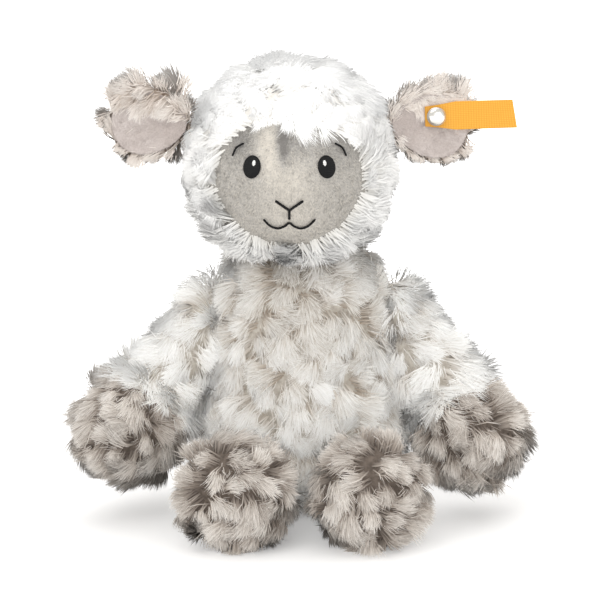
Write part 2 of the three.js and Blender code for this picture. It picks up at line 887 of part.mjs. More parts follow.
function addRivet(earGroup) {
  const group = new THREE.Group();
  group.position.copy(rivetPlace);
  addPiece(group, 'rivet', rivetBody(), metal());
  addPiece(group, 'rivet_washer', rivetWasher(), metal());
  const turned = new THREE.Group();
  turned.rotation.y = radians(-ribbon.tilt - ear.rightDroop);
  addPiece(turned, 'ribbon_tag', ribbonTag(), fabric(fabricColours.goldRibbon));
  group.add(turned);
  earGroup.add(group);
}

function addHead(sheep) {
  const group = new THREE.Group();
  group.position.copy(headMiddle);
  addPiece(group, 'head_cover', headCover(), whitePile);
  addPiece(group, 'head_filling', headFilling(), stuffing);
  addFace(group);
  addEar(group, 'left', -1, ear.leftDroop, false);
  addRivet(addEar(group, 'right', 1, ear.rightDroop, true));
  sheep.add(group);
}

function addArm(sheep, sideName, side, outward) {
  const group = aimedGroup(shoulderCentre(side), armDirection(outward, side));
  const flank = flankPlane(side);
  const torsoSide = blockBeyond(flank.normal.clone().negate(), -flank.offset - gap, cutterSize);
  sheep.add(group);
  const pieces = [
    ['arm_cover', limbCover(arm), creamPile],
    ['paw_cover', tipCover(arm), taupePile],
    ['arm_filling', limbFilling(arm), stuffing],
  ];
  for (const [name, solid, material] of pieces) {
    addPiece(group, `${name}_${sideName}`, cutInPlace(solid, group, torsoSide), material);
  }
}

function addLeg(sheep, sideName, side) {
  const group = aimedGroup(hipCentre(side), legDirection(side));
  sheep.add(group);
  addPiece(group, `leg_cover_${sideName}`, limbCover(leg), creamPile);
  addPiece(group, `foot_cover_${sideName}`, cutInPlace(tipCover(leg), group, belowFloor), taupePile);
  addPiece(group, `leg_filling_${sideName}`, limbFilling(leg), stuffing);
}

function addTail(sheep) {
  const drop = radians(tail.drop);
  const group = aimedGroup(tailCentre, new THREE.Vector3(0, Math.cos(drop), -Math.sin(drop)));
  addPiece(group, 'tail', tailSolid(), creamPile);
  sheep.add(group);
}

const sheep = new THREE.Group();
addTorso(sheep);
addHead(sheep);
addArm(sheep, 'left', -1, armAim.leftOutward);
addArm(sheep, 'right', 1, armAim.rightOutward);
addLeg(sheep, 'left', -1);
addLeg(sheep, 'right', 1);
addTail(sheep);

export default sheep;
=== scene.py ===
import itertools
import json
import math

import bpy
import numpy as np
from mathutils import Matrix, Vector


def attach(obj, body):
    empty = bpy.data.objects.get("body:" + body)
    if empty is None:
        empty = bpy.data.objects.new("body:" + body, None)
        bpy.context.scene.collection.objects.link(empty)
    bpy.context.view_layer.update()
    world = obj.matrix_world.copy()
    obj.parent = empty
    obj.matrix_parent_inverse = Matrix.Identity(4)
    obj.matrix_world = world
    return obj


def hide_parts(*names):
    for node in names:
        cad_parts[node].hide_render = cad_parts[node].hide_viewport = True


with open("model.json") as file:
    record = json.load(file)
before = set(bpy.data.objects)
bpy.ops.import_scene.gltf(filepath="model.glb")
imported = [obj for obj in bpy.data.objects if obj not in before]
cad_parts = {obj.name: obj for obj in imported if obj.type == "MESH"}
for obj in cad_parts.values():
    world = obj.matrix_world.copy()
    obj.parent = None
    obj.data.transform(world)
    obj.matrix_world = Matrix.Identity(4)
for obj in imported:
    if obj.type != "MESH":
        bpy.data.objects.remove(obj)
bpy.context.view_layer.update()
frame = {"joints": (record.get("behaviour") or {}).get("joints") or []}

# Everything below is worked out in millimetres and turned to metres as a mesh is made.
# Left and right are as seen by someone who looks at the face.

MM = 0.001
SIDES = (("left", -1), ("right", 1))
UP = np.array([0.0, 0.0, 1.0])

# Camera: the angle and distance from which the toy was photographed
CAMERA_ELEVATION = 12.0
CAMERA_DISTANCE = 1400.0
CAMERA_TARGET = (-1.5, 0.0, 101.0)
VIEW_WIDTH = 294.0
SENSOR = 36.0

# Forms, as packed
TORSO_BELLY = 49.5
TORSO_BELLY_HEIGHT = 44.0
TORSO_DOME = 41.0
TORSO_DOME_HEIGHT = 96.0
TORSO_DOME_END = math.radians(82)
TORSO_FULLNESS = (0.82, 0.46, 0.36)
HEAD_HALF = np.array([49.5, 47.0, 47.0])
HEAD_MIDDLE = np.array([-6.5, -6.0, 172.0])
FACE_HALF = np.array([42.0, 33.0, 38.0])
FACE_MIDDLE = HEAD_MIDDLE + np.array([0.0, -14.5, -5.5])
PANEL_HALF = (36.0, 31.0)
PANEL_TAPER = 0.06
FORELOCK = (5.0, 8.0)
ARM_AIM = {"left": 37.0, "right": 34.0, "forward": 21.0}
LEG_AIM = {"outward": 8.0, "lift": 6.0}
ARM = dict(root=17.0, cuff=18.5, cuff_at=51.0, tip_start=19.5, tip=25.0, widest=75.0, end=99.0)
LEG = dict(root=17.0, cuff=19.5, cuff_at=17.0, tip_start=21.0, tip=26.5, widest=34.0, end=49.0)
TAIL = dict(root=5.0, belly=8.5, belly_at=14.0, end=22.0, drop=48.0)
EAR_LENGTH = 41.0
EAR_HALF_WIDTH = 18.0
EAR_THICKNESS = 6.5
EAR_CUP = 4.5
EAR_TAPER = 0.2
EAR_DROOP = {"left": 1.0, "right": 5.0}
LINING_HALF = (17.0, 13.5)
LINING_THICKNESS = 3.0
LINING_PROUD = 0.5
RIVET_PLACE = (23.6, 5.0)
RIBBON_WIDTH = 13.5
RIBBON_REACH = 38.5
RIBBON_FOLD = 5.5
RIBBON_TILT = 2.0
# How far along the strip its fold lies
FOLD_RUN = 44.0

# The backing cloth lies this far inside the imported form, which takes in the dense pile
SKIN_INSET = 3.0
# What a wave texture of scale 1 takes for one ridge
WAVE_LENGTH = 6.3

JOINT_AT = {j["name"]: np.array(j["pos_m"]) / MM for j in frame["joints"]}


# Materials

def linear(hex_colour):
    """An sRGB hex colour as linear red, green, blue and alpha."""
    channels = [int(hex_colour[i:i + 2], 16) / 255 for i in (1, 3, 5)]
    return [c / 12.92 if c <= 0.04045 else ((c + 0.055) / 1.055) ** 2.4 for c in channels] + [1.0]


def add_node(tree, kind, inputs=None, **fields):
    """Adds a node, sets its own fields, and sets or links its inputs by name or number."""
    node = tree.nodes.new(kind)
    for field, value in fields.items():
        setattr(node, field, value)
    for key, value in (inputs or {}).items():
        if isinstance(value, bpy.types.NodeSocket):
            tree.links.new(value, node.inputs[key])
        else:
            node.inputs[key].default_value = value
    return node


def empty_tree(owner):
    owner.use_nodes = True
    owner.node_tree.nodes.clear()
    return owner.node_tree


def new_material(name):
    material = bpy.data.materials.new(name)
    return material, empty_tree(material)


def add_ramp(tree, factor, places, colours):
    """A ramp that has each hex colour at its place."""
    ramp = add_node(tree, "ShaderNodeValToRGB", {"Fac": factor})
    elements = ramp.color_ramp.elements
    while len(elements) < len(places):
        elements.new(0.5)
    for element, place, colour in zip(elements, places, colours):
        element.position = place
        element.color = linear(colour)
    return ramp.outputs["Color"]


def add_blend(tree, factor, first, second):
    inputs = {"Factor": factor, 6: first, 7: second}
    return add_node(tree, "ShaderNodeMix", inputs, data_type="RGBA").outputs[2]


def add_math(tree, operation, *values):
    return add_node(tree, "ShaderNodeMath", dict(enumerate(values)), operation=operation).outputs[0]


def add_range(tree, value, low, high, to_low, to_high, **fields):
    """A value taken from one range to another."""
    return add_node(tree, "ShaderNodeMapRange", {
        "Value": value, "From Min": low, "From Max": high, "To Min": to_low, "To Max": to_high,
    }, **fields).outputs[0]


def add_speckle(tree, grain_mm, **detail):
    """Noise through the object, as coarse as its grain."""
    place = add_node(tree, "ShaderNodeTexCoord")
    inputs = {"Vector": place.outputs["Object"], "Scale": 1 / (grain_mm * MM), **detail}
    return add_node(tree, "ShaderNodeTexNoise", inputs).outputs["Fac"]


def add_ridges(tree, vector, spacing, axis, **waver):
    """Threads side by side along an axis of the vector, one to each spacing."""
    inputs = {"Vector": vector, "Scale": 1 / spacing / WAVE_LENGTH, **waver}
    wave = add_node(tree, "ShaderNodeTexWave", inputs, wave_type="BANDS", bands_direction=axis)
    return wave.outputs["Fac"]


def close_material(tree, colour, roughness, specular=0.5, bump=None, **others):
    """The shader that ends a material. bump is its height, its strength and its depth in mm."""
    inputs = {
        "Base Color": colour, "Roughness": roughness, "Specular IOR Level": specular, **others,
    }
    if bump:
        height, strength, depth = bump
        inputs["Normal"] = add_node(tree, "ShaderNodeBump", {
            "Height": height, "Strength": strength, "Distance": depth * MM,
        }).outputs["Normal"]
    shader = add_node(tree, "ShaderNodeBsdfPrincipled", inputs)
    add_node(tree, "ShaderNodeOutputMaterial", {"Surface": shader.outputs["BSDF"]})


def pile_material(name, places, darkest_stops, lightest_stops):
    """Fibre colours at places from root to tip, for the darkest and the lightest tone; the darker
    roots are painted shade of the pile's depths.
    """
    material, tree = new_material(name)
    chart = add_node(tree, "ShaderNodeUVMap", uv_map="OFBake")
    split = add_node(tree, "ShaderNodeSeparateXYZ", {0: chart.outputs["UV"]})
    ramps = [add_ramp(tree, split.outputs["Y"], places, colours) for colours in (darkest_stops, lightest_stops)]
    close_material(tree, add_blend(tree, split.outputs["X"], *ramps), 0.9, 0.25)
    return material


def backing_material(name, slot, *colours):
    """The knitted cloth that the pile grows from, mottled at the size of the locks."""
    material, tree = new_material(name)
    mottle = add_speckle(tree, 3.0, Detail=3.0, Roughness=0.6)
    colour = add_ramp(tree, mottle, (0.35, 0.65), colours)
    close_material(tree, colour, 0.95, 0.2, (mottle, 0.5, 0.5))
    return material


def thread_material(name, slot, *colours):
    """Satin stitch: glossy viscose threads side by side, each a fine ridge."""
    material, tree = new_material(name)
    place = add_node(tree, "ShaderNodeTexCoord").outputs["Object"]
    waver = {"Distortion": 1.5, "Detail": 2.0, "Detail Scale": 1.5}
    rows = add_ridges(tree, place, 0.42 * MM, "Z", **waver)
    close_material(tree, add_ramp(tree, rows, (0.2, 0.9), colours), 0.5, 0.2, (rows, 0.7, 0.25))
    return material


def velour_material(name, places, colours):
    """Short brushed velour: the tone painted on the mesh, broken up by strokes of the nap."""
    material, tree = new_material(name)
    tone = add_node(tree, "ShaderNodeAttribute", attribute_name="tone").outputs["Fac"]
    strokes = add_speckle(tree, 0.9, Detail=2.0, Roughness=0.5)
    shift = add_math(tree, "SUBTRACT", strokes, 0.5)
    colour = add_ramp(tree, add_math(tree, "MULTIPLY_ADD", shift, 0.9, tone), places, colours)
    close_material(tree, colour, 0.92, 0.2, (strokes, 0.8, 0.4), **{"Sheen Weight": 0.15})
    return material


def ribbon_material(name):
    """Woven satin ribbon, ribbed across and finer along, with painted shade where it is gathered at
    the fold.
    """
    material, tree = new_material(name)
    place = add_node(tree, "ShaderNodeUVMap", uv_map="weave").outputs["UV"]
    ribs = add_ridges(tree, place, 0.62, "X", Distortion=0.4, Detail=1.0)
    warps = add_ridges(tree, place, 0.45, "Y", Distortion=0.4, Detail=1.0)
    weave = add_math(tree, "MULTIPLY", ribs, warps)
    run = add_node(tree, "ShaderNodeSeparateXYZ", {0: place}).outputs["X"]
    from_fold = add_math(tree, "ABSOLUTE", add_math(tree, "SUBTRACT", run, FOLD_RUN))
    # Painted shade: the gold darkens towards the fold by the rivet.
    fold_shade = add_range(tree, from_fold, 3.0, 13.0, 0.45, 0.0)
    gold = add_ramp(tree, weave, (0.0, 0.7), ("#E09A20", "#F3B43C"))
    colour = add_blend(tree, fold_shade, gold, linear("#A8741A"))
    close_material(tree, colour, 0.55, bump=(weave, 0.35, 0.12), **{"Sheen Weight": 0.1})
    return material


def rivet_material(name, colour):
    """Metal pressed and barrel polished: fine rubbing marks soften its mirror."""
    material, tree = new_material(name)
    marks = add_speckle(tree, 0.6, Detail=3.0)
    close_material(tree, linear(colour), add_range(tree, marks, 0.0, 1.0, 0.12, 0.26), Metallic=1.0)
    return material


# Long cream pile of polyester: bright tips, warm beige towards the roots as painted shade of the
# pile's depths
cream_fibre = pile_material(
    "cream_polyester_long_pile_brushed", (0.0, 0.45, 0.75, 1.0),
    ("#9C8C7B", "#C1B7AB", "#DEDAD3", "#F1F0ED"), ("#CAC2B7", "#EFEDE9", "#FBFBF9", "#FFFFFF"),
)
# Whiter and fluffier pile on the head
white_fibre = pile_material(
    "white_polyester_fluffy_pile_brushed", (0.0, 0.4, 1.0),
    ("#E9E5DD", "#F9F7F4", "#FEFEFD"), ("#F5F3EE", "#FEFEFC", "#FFFFFF"),
)
# Taupe pile of the paws and feet: dark roots, partly its own tipping and partly painted shade
# between the tufts, and pale, pinkish beige tips
taupe_fibre = pile_material(
    "taupe_polyester_tipped_pile_brushed", (0.0, 0.4, 0.75, 1.0),
    ("#453C36", "#7B7067", "#A89E95", "#C8C0B8"), ("#6A5F57", "#BBB1A7", "#E8E2DB", "#FCFAF6"),
)
# The ears' pile, paler and less contrasting than the feet's
ear_fibre = pile_material(
    "light_taupe_polyester_pile_brushed", (0.0, 0.4, 0.75, 1.0),
    ("#8C7B6D", "#BDAFA3", "#DAD0C8", "#EBE4DD"), ("#998E84", "#D8CEC6", "#F3ECE5", "#FCF9F5"),
)
# The upright nap of the velours: grey taupe on the face, pinkish grey in the ears
nap_fibre = pile_material(
    "face_velour_nap_brushed", (0.0, 1.0),
    ("#787572", "#8F8C88"), ("#D3CCC1", "#E8E3DA"),
)
pink_nap_fibre = pile_material(
    "ear_velour_nap_brushed", (0.0, 1.0),
    ("#A49893", "#B9AEA9"), ("#C9BEB9", "#DCD3CF"),
)
# The backings show as shade between the locks, in the colour of their pile's roots
cream_backing = backing_material("cream_pile_backing_knitted", "cream_pile", "#B3ABA0", "#CFC9BF")
white_backing = backing_material("white_pile_backing_knitted", "white_pile", "#EAE6DF", "#F6F4F0")
taupe_backing = backing_material("taupe_pile_backing_knitted", "taupe_pile", "#5C534C", "#766B62")
# Face velour: the tone runs from the dark streak over the taupe cheeks to the beige bridge
face_velour = velour_material(
    "face_velour_knitted_brushed", (0.0, 0.3, 0.55, 0.85, 1.0),
    ("#7F7C79", "#A29F9B", "#BAB6B0", "#D3CDC3", "#DDD6CB"),
)
ear_velour = velour_material(
    "ear_velour_knitted_brushed", (0.0, 0.5, 1.0), ("#9F948F", "#BCB1AC", "#D3CAC6"),
)
# Embroidery thread with the gloss of satin stitch, and the golden polyester of the tag
black_thread = thread_material(
    "black_viscose_thread_satin_stitched", "black_thread", "#020203", "#09090B",
)
white_thread = thread_material(
    "white_viscose_thread_satin_stitched", "white_thread", "#E6E5E1", "#FFFFFF",
)
gold_satin = ribbon_material("gold_satin_ribbon_woven")
nickel = rivet_material("nickel_plated_steel_pressed", "#D6D3CC")


# Mesh tools

def rest_selection():
    """Nothing selected, so that an operator acts on the new piece alone."""
    bpy.ops.object.select_all(action="DESELECT")


def take_up(piece):
    rest_selection()
    piece.select_set(True)
    bpy.context.view_layer.objects.active = piece


def add_object(name, data):
    piece = bpy.data.objects.new(name, data)
    bpy.context.collection.objects.link(piece)
    return piece


def read_all(items, field, width=3, kind=float):
    """One field of all of a mesh's items, a row to each."""
    values = np.empty(len(items) * width, kind)
    items.foreach_get(field, values)
    return values.reshape(-1, width)


def vertex_places(piece):
    return read_all(piece.data.vertices, "co") / MM


def move_vertices(piece, places):
    piece.data.vertices.foreach_set("co", (np.asarray(places) * MM).ravel())
    piece.data.update()


def paint_tone(piece, tone):
    layer = piece.data.attributes.new("tone", "FLOAT", "POINT")
    layer.data.foreach_set("value", tone.astype(np.float32))


def apply_modifier(piece, kind, name, **fields):
    take_up(piece)
    modifier = piece.modifiers.new(name, kind)
    for field, value in fields.items():
        setattr(modifier, field, value)
    bpy.ops.object.modifier_apply(modifier=modifier.name)


def smooth(piece):
    take_up(piece)
    bpy.ops.object.shade_smooth()


def edit_all(piece, operator, **options):
    """Runs a mesh operator on the whole piece in edit mode."""
    take_up(piece)
    bpy.ops.object.mode_set(mode="EDIT")
    bpy.ops.mesh.select_all(action="SELECT")
    operator(**options)
    bpy.ops.object.mode_set(mode="OBJECT")


def clean(piece):
    """Merges doubles, turns every face outwards and shades it smooth."""
    edit_all(piece, bpy.ops.mesh.remove_doubles, threshold=0.01 * MM)
    edit_all(piece, bpy.ops.mesh.normals_make_consistent, inside=False)
    smooth(piece)


def add_ball(name, half, middle, segments=48, rings=32):
    """A ball added at its place, then scaled to its half sizes."""
    rest_selection()
    bpy.ops.mesh.primitive_uv_sphere_add(segments=segments, ring_count=rings, radius=1)
    piece = bpy.context.object
    piece.name = name
    move_vertices(piece, vertex_places(piece) * MM * np.asarray(half) + np.asarray(middle))
    smooth(piece)
    return piece


def add_spun(name, profile, place, steps=48):
    """A profile of (radius, height) points spun into a closed skin in edit mode."""
    mesh = bpy.data.meshes.new(name)
    points = [(r * MM, 0, z * MM) for r, z in profile]
    mesh.from_pydata(points, [(i, i + 1) for i in range(len(points) - 1)], [])
    piece = add_object(name, mesh)
    edit_all(piece, bpy.ops.mesh.spin, steps=steps, angle=2 * math.pi, center=(0, 0, 0), axis=UP)
    clean(piece)
    piece.data.transform(place)
    return piece


def bisect(piece, point, normal):
    """Cuts away what lies beyond a plane and closes the cut."""
    edit_all(piece, bpy.ops.mesh.bisect, plane_co=Vector(point) * MM, plane_no=Vector(normal),
             use_fill=True, clear_outer=True)
    clean(piece)


def curve_points(start, start_handle, end_handle, end, steps):
    t = np.linspace(0, 1, steps + 1)[:, None]
    points = [np.asarray(p, float) for p in (start, start_handle, end_handle, end)]
    weights = ((1 - t) ** 3, 3 * t * (1 - t) ** 2, 3 * t ** 2 * (1 - t), t ** 3)
    return sum(w * p for w, p in zip(weights, points))


def join_profile(*stretches):
    """Stretches of a profile in one, without repeated meeting points."""
    points = np.vstack(stretches)
    keep = np.r_[True, np.linalg.norm(np.diff(points, axis=0), axis=1) > 0.01]
    return points[keep]


def aim(position, direction):
    """The place of a piece whose +Z runs in a direction from a position."""
    turn = Vector((0, 0, 1)).rotation_difference(Vector(direction).normalized())
    return Matrix.Translation(Vector(position) * MM) @ turn.to_matrix().to_4x4()


def unit(vectors):
    vectors = np.asarray(vectors, float)
    return vectors / np.maximum(np.linalg.norm(vectors, axis=-1, keepdims=True), 1e-9)


def along_surface(vectors, normals):
    """The part of each vector that lies along the surface, as a unit vector."""
    flat = vectors - normals * np.sum(vectors * normals, axis=1, keepdims=True)
    return unit(flat)


# Profiles of the forms

def arc(half_width, half_height, middle, start, end, count):
    """A stretch of an ellipse about a place on the axis, between two angles from level."""
    angles = np.linspace(start, end, count)
    return np.column_stack([half_width * np.cos(angles), middle + half_height * np.sin(angles)])


def swelling(start, end, steps):
    """A curve that leaves and ends along the axis."""
    half = (start[1] + end[1]) / 2
    return curve_points(start, (start[0], half), (end[0], half), end, steps)


def torso_profile(inset):
    belly, dome, base = TORSO_BELLY - inset, TORSO_DOME - inset, inset
    seat_full, belly_full, flank_full = TORSO_FULLNESS
    down = np.array([math.cos(TORSO_DOME_END), -math.sin(TORSO_DOME_END)])
    join = np.array([dome * -down[1], TORSO_DOME_HEIGHT + dome * down[0]])
    flank = (join[1] - TORSO_BELLY_HEIGHT) * flank_full
    seat = curve_points(
        (0, base), (belly * seat_full, base),
        (belly, base + (TORSO_BELLY_HEIGHT - base) * belly_full), (belly, TORSO_BELLY_HEIGHT), 12,
    )
    side = curve_points(
        (belly, TORSO_BELLY_HEIGHT), (belly, TORSO_BELLY_HEIGHT + flank),
        join + down * flank, join, 12,
    )
    angles = np.linspace(TORSO_DOME_END, 0, 12)
    top = np.column_stack([dome * np.sin(angles), TORSO_DOME_HEIGHT + dome * np.cos(angles)])
    return join_profile(seat, side, top)


def limb_profile(limb, inset):
    """The limb as far as its cuff, with both ends closed."""
    root, cuff = limb["root"] - inset, limb["cuff"] - inset
    ball = arc(root, root, 0, -math.pi / 2, 0, 7)
    side = swelling((root, 0), (cuff, limb["cuff_at"]), 8)
    lid = np.array([[cuff * 0.5, limb["cuff_at"] + 0.5], [0, limb["cuff_at"] + 0.5]])
    return join_profile(ball, side, lid)


def tip_profile(limb, inset):
    """The paw or foot from its cuff on, with both ends closed."""
    narrow, wide = limb["tip_start"] - inset, limb["tip"] - inset
    start = limb["cuff_at"] + 1.0
    swell = (limb["widest"] - start) / 2
    lid = np.array([[0, start], [narrow * 0.5, start]])
    side = curve_points(
        (narrow, start), ((narrow + wide) / 2, start + swell / 2),
        (wide, limb["widest"] - swell), (wide, limb["widest"]), 8,
    )
    depth = limb["end"] - inset - limb["widest"]
    return join_profile(lid, side, arc(wide, depth, limb["widest"], 0, math.pi / 2, 8))


def tail_profile(inset):
    root, belly = TAIL["root"] - inset, TAIL["belly"] - inset
    ball = arc(root, root, 0, -math.pi / 2, 0, 6)
    side = swelling((root, 0), (belly, TAIL["belly_at"]), 6)
    depth = TAIL["end"] - inset - TAIL["belly_at"]
    return join_profile(ball, side, arc(belly, depth, TAIL["belly_at"], 0, math.pi / 2, 7))


def arm_direction(side_name, side):
    outward, forward = math.radians(ARM_AIM[side_name]), math.radians(ARM_AIM["forward"])
    return np.array([
        side * math.sin(outward),
        -math.cos(outward) * math.sin(forward),
        -math.cos(outward) * math.cos(forward),
    ])


def leg_direction(side):
    outward, lift = math.radians(LEG_AIM["outward"]), math.radians(LEG_AIM["lift"])
    return np.array([side * math.sin(outward), -math.cos(outward) * math.cos(lift), math.sin(lift)])


# Stuffing: a skin swells under the pressure of its filling, and its seams hold

VOXEL = 5.0
PRESSURE = 4.0
LAST_FRAME = 20


def stuff(piece, seams, cap):
    """Swells a skin by cloth simulation. seams picks the points that stay, cap limits the rest."""
    apply_modifier(piece, "REMESH", "even_mesh", mode="VOXEL", voxel_size=VOXEL * MM)
    start = vertex_places(piece)
    held = piece.vertex_groups.new(name="seams")
    held.add([int(i) for i in np.flatnonzero(seams(start))], 1.0, "REPLACE")
    cloth = piece.modifiers.new("cloth", "CLOTH")
    cloth.settings.vertex_group_mass = "seams"
    cloth.settings.use_pressure = True
    cloth.settings.uniform_pressure_force = PRESSURE
    cloth.settings.effector_weights.gravity = 0.0
    cloth.collision_settings.use_collision = False
    cloth.point_cache.frame_start = 1
    cloth.point_cache.frame_end = LAST_FRAME
    for number in range(1, LAST_FRAME + 1):
        bpy.context.scene.frame_set(number)
    take_up(piece)
    bpy.ops.object.modifier_apply(modifier="cloth")
    bpy.context.scene.frame_set(1)
    moved = vertex_places(piece) - start
    size = np.linalg.norm(moved, axis=1, keepdims=True)
    move_vertices(piece, start + moved * np.minimum(1, cap / np.maximum(size, 1e-6)))
    piece.vertex_groups.clear()
    apply_modifier(piece, "SUBSURF", "round_off", levels=1, render_levels=1)
    smooth(piece)


# Pile: fibres gathered into locks, each a closed three-sided spike that bends and tapers

TONE_STEP = 0.004
FLYAWAYS = 0.05
LOWEST_PILE = 0.15
BLOCK = 2000


def ordered_triangles(mesh, places):
    """A skin's triangles in an order that their places decide, since operators shuffle faces."""
    key = np.round(places, 2) @ (1e6, 1e3, 1.0)
    rows = []
    for face in mesh.polygons:
        ring = list(face.vertices)
        start = min(range(len(ring)), key=lambda k: key[ring[k]])
        ring = ring[start:] + ring[:start]
        rows += [(ring[0], b, c) for b, c in zip(ring[1:], ring[2:])]
    rows = np.array(rows)
    return rows[np.lexsort(np.round(places[rows].mean(axis=1), 2).T)]


def skin_points(piece, density, draw):
    """Points spread evenly over a skin, so many to the square millimetre, with their normals."""
    places = vertex_places(piece)
    corners = ordered_triangles(piece.data, places)
    normals = read_all(piece.data.vertex_normals, "vector")
    a, b, c = (places[corners[:, k]] for k in range(3))
    areas = np.linalg.norm(np.cross(b - a, c - a), axis=1) / 2
    count = int(areas.sum() * density)
    edges = np.cumsum(areas)
    pick = np.searchsorted(edges, (np.arange(count) + draw.random(count)) / count * edges[-1])
    pick = np.minimum(pick, len(areas) - 1)
    u, v = draw.random(count), draw.random(count)
    over = u + v > 1
    u[over], v[over] = 1 - u[over], 1 - v[over]
    w = np.column_stack([1 - u - v, u, v])
    points, facing = (
        sum(w[:, k:k + 1] * rows[corners[pick, k]] for k in range(3)) for rows in (places, normals)
    )
    return points, unit(facing)


def spaced(points, spacing, draw):
    """Indices of points no nearer to each other than the spacing, for the middles of locks."""
    cells = {}
    chosen = []
    beside = list(itertools.product((-1, 0, 1), repeat=3))
    for i in draw.permutation(len(points)):
        p = points[i]
        x, y, z = (int(c // spacing) for c in p)
        near = (q for a, b, c in beside for q in cells.get((x + a, y + b, z + c), ()))
        if all(np.sum((q - p) ** 2) > spacing * spacing for q in near):
            cells.setdefault((x, y, z), []).append(p)
            chosen.append(i)
    return np.array(chosen)


def in_blocks(points, work):
    """The work's results for points taken a block at a time, to spare memory."""
    return np.concatenate([work(points[i:i + BLOCK]) for i in range(0, len(points), BLOCK)])


def nearest(points, middles):
    size = np.sum(middles ** 2, axis=1)[None]
    return in_blocks(points, lambda block: np.argmin(
        np.sum(block ** 2, axis=1)[:, None] + size - 2 * block @ middles.T, axis=1,
    ))


def ripple(points, scale, phase):
    """A smooth wandering value from -1 to 1 over space, repeated only over long distances."""
    x, y, z = (points / scale + phase).T
    first = np.sin(x + 1.7 * np.sin(0.8 * y + z))
    return (first + np.sin(1.3 * z + 1.1 * np.sin(1.2 * x - 0.7 * y))) / 2


def turn_about(vectors, axes, angles):
    angles = angles[:, None]
    return vectors * np.cos(angles) + np.cross(axes, vectors) * np.sin(angles)


def lie_of_locks(points, normals, flow, coat, draw):
    """The middles of the locks, which way each one lies, and how long, raised and curled it is."""
    spare = 1.2
    few = draw.permutation(len(points))[:int(len(points) / max(1, coat["density"]) * spare) + 1]
    middles = few[spaced(points[few], coat["lock"], draw)]
    count = len(middles)
    facing = normals[middles]
    wander = coat["swirl"] * ripple(points[middles], coat["swirl_mm"], coat["phase"])
    wander = wander + draw.normal(0, coat["scatter"], count)
    ahead = turn_about(along_surface(flow[middles], facing), facing, np.radians(wander))
    return dict(
        middle=points[middles], facing=facing, ahead=ahead,
        length=coat["length"] * draw.uniform(1 - coat["uneven"], 1 + coat["uneven"], count),
        rise=coat["rise"] * draw.uniform(0.7, 1.3, count),
        curl=coat["curl"] * draw.uniform(-1, 1, count),
        waist=draw.uniform(*coat["waist"], count),
        end=draw.uniform(*coat["end"], count),
        tone=np.clip(draw.normal(coat["tone"], coat["tone_spread"], count), 0.02, 0.95),
        owner=nearest(points, points[middles]),
    )


def fibre_paths(points, normals, flow, coat, share, draw):
    """Each fibre's centre points from root to tip, which way light finds it there, and its tone.

    The fibres of a lock run side by side, drawn in at its waist and spread again at its end.
    """
    count = len(points)
    locks = lie_of_locks(points, normals, flow, coat, draw)
    own = locks["owner"]
    ahead = locks["ahead"][own]
    from_middle = points - locks["middle"][own]
    run = np.sum(from_middle * ahead, axis=1)
    aside = from_middle - ahead * run[:, None]
    width = np.linalg.norm(aside, axis=1) / (coat["lock"] * 0.75)

    stray = np.radians(draw.normal(0, coat["stray"], count))
    stray *= np.where(draw.random(count) < FLYAWAYS, 3, 1)
    ahead = turn_about(along_surface(ahead, normals), normals, stray)
    across = np.cross(normals, ahead)
    full = locks["length"][own] * share
    length = full * draw.uniform(0.68, 1.1, count) - coat["blunt"] * run
    length = np.clip(length, 0.4 * full, 1.35 * full)
    rise = locks["rise"][own] * draw.uniform(0.88, 1.12, count)
    curl = locks["curl"][own] + draw.normal(0, 0.04, count)
    crown = coat["crown"] * np.clip(1 - width ** 2, 0, 1)

    centres, facing = [], []
    for step in coat["stations"]:
        forward = step * (1 - 0.3 * rise * step)
        lift = rise * (step - 0.5 * coat["hook"] * step ** 2)
        gather = np.interp(step, (0, 0.5, 1), (0, 1, 0)) * locks["waist"][own]
        gather = gather + max(0, 2 * step - 1) * locks["end"][own]
        moves = ((ahead, forward), (normals, lift), (across, curl * step ** 2))
        place = points + sum(way * amount[:, None] for way, amount in moves) * length[:, None]
        domed = crown * math.sin(math.pi * min(step, 0.75))
        centres.append(place - aside * gather[:, None] + normals * domed[:, None])
        facing.append(unit(
            normals + unit(aside) * (0.45 * np.minimum(width, 1))[:, None] * step
            + ahead * (0.25 * step ** 2 - 0.1)
        ))
    centres, facing = np.stack(centres, axis=1), np.stack(facing, axis=1)
    run = unit(centres[:, -1] - centres[:, 0])[:, None]
    facing = unit(facing - coat["turned"] * run * np.sum(run * facing, axis=2, keepdims=True))
    tone = locks["tone"][own] + draw.normal(0, coat["streak"], count)
    # Painted shade: each lock is darker on its flanks and lighter down its middle, by the coat's
    # shade.
    tone += coat["shade"] * (0.35 - np.minimum(width, 1) ** 2)
    return centres, facing, np.clip(tone, 0.01, 0.97)


def spike_pattern(rings):
    """Corners and map places of one spike's triangles: rings of three points, then the tip."""
    faces, across, along = [(2, 1, 0)], [(2, 1, 0)], [(0, 0, 0)]
    for k in range(rings - 1):
        for j in range(3):
            a, b = 3 * k + j, 3 * k + (j + 1) % 3
            c, d = b + 3, a + 3
            faces += [(a, b, c), (a, c, d)]
            across += [(j, j + 1, j + 1), (j, j + 1, j)]
            along += [(k, k, k + 1), (k, k + 1, k + 1)]
    last = 3 * (rings - 1)
    for j in range(3):
        faces.append((last + j, last + (j + 1) % 3, last + 3))
        across.append((j, j + 1, j + 0.5))
        along.append((rings - 1, rings - 1, rings))
    return np.array(faces), np.array(across, float), np.array(along)


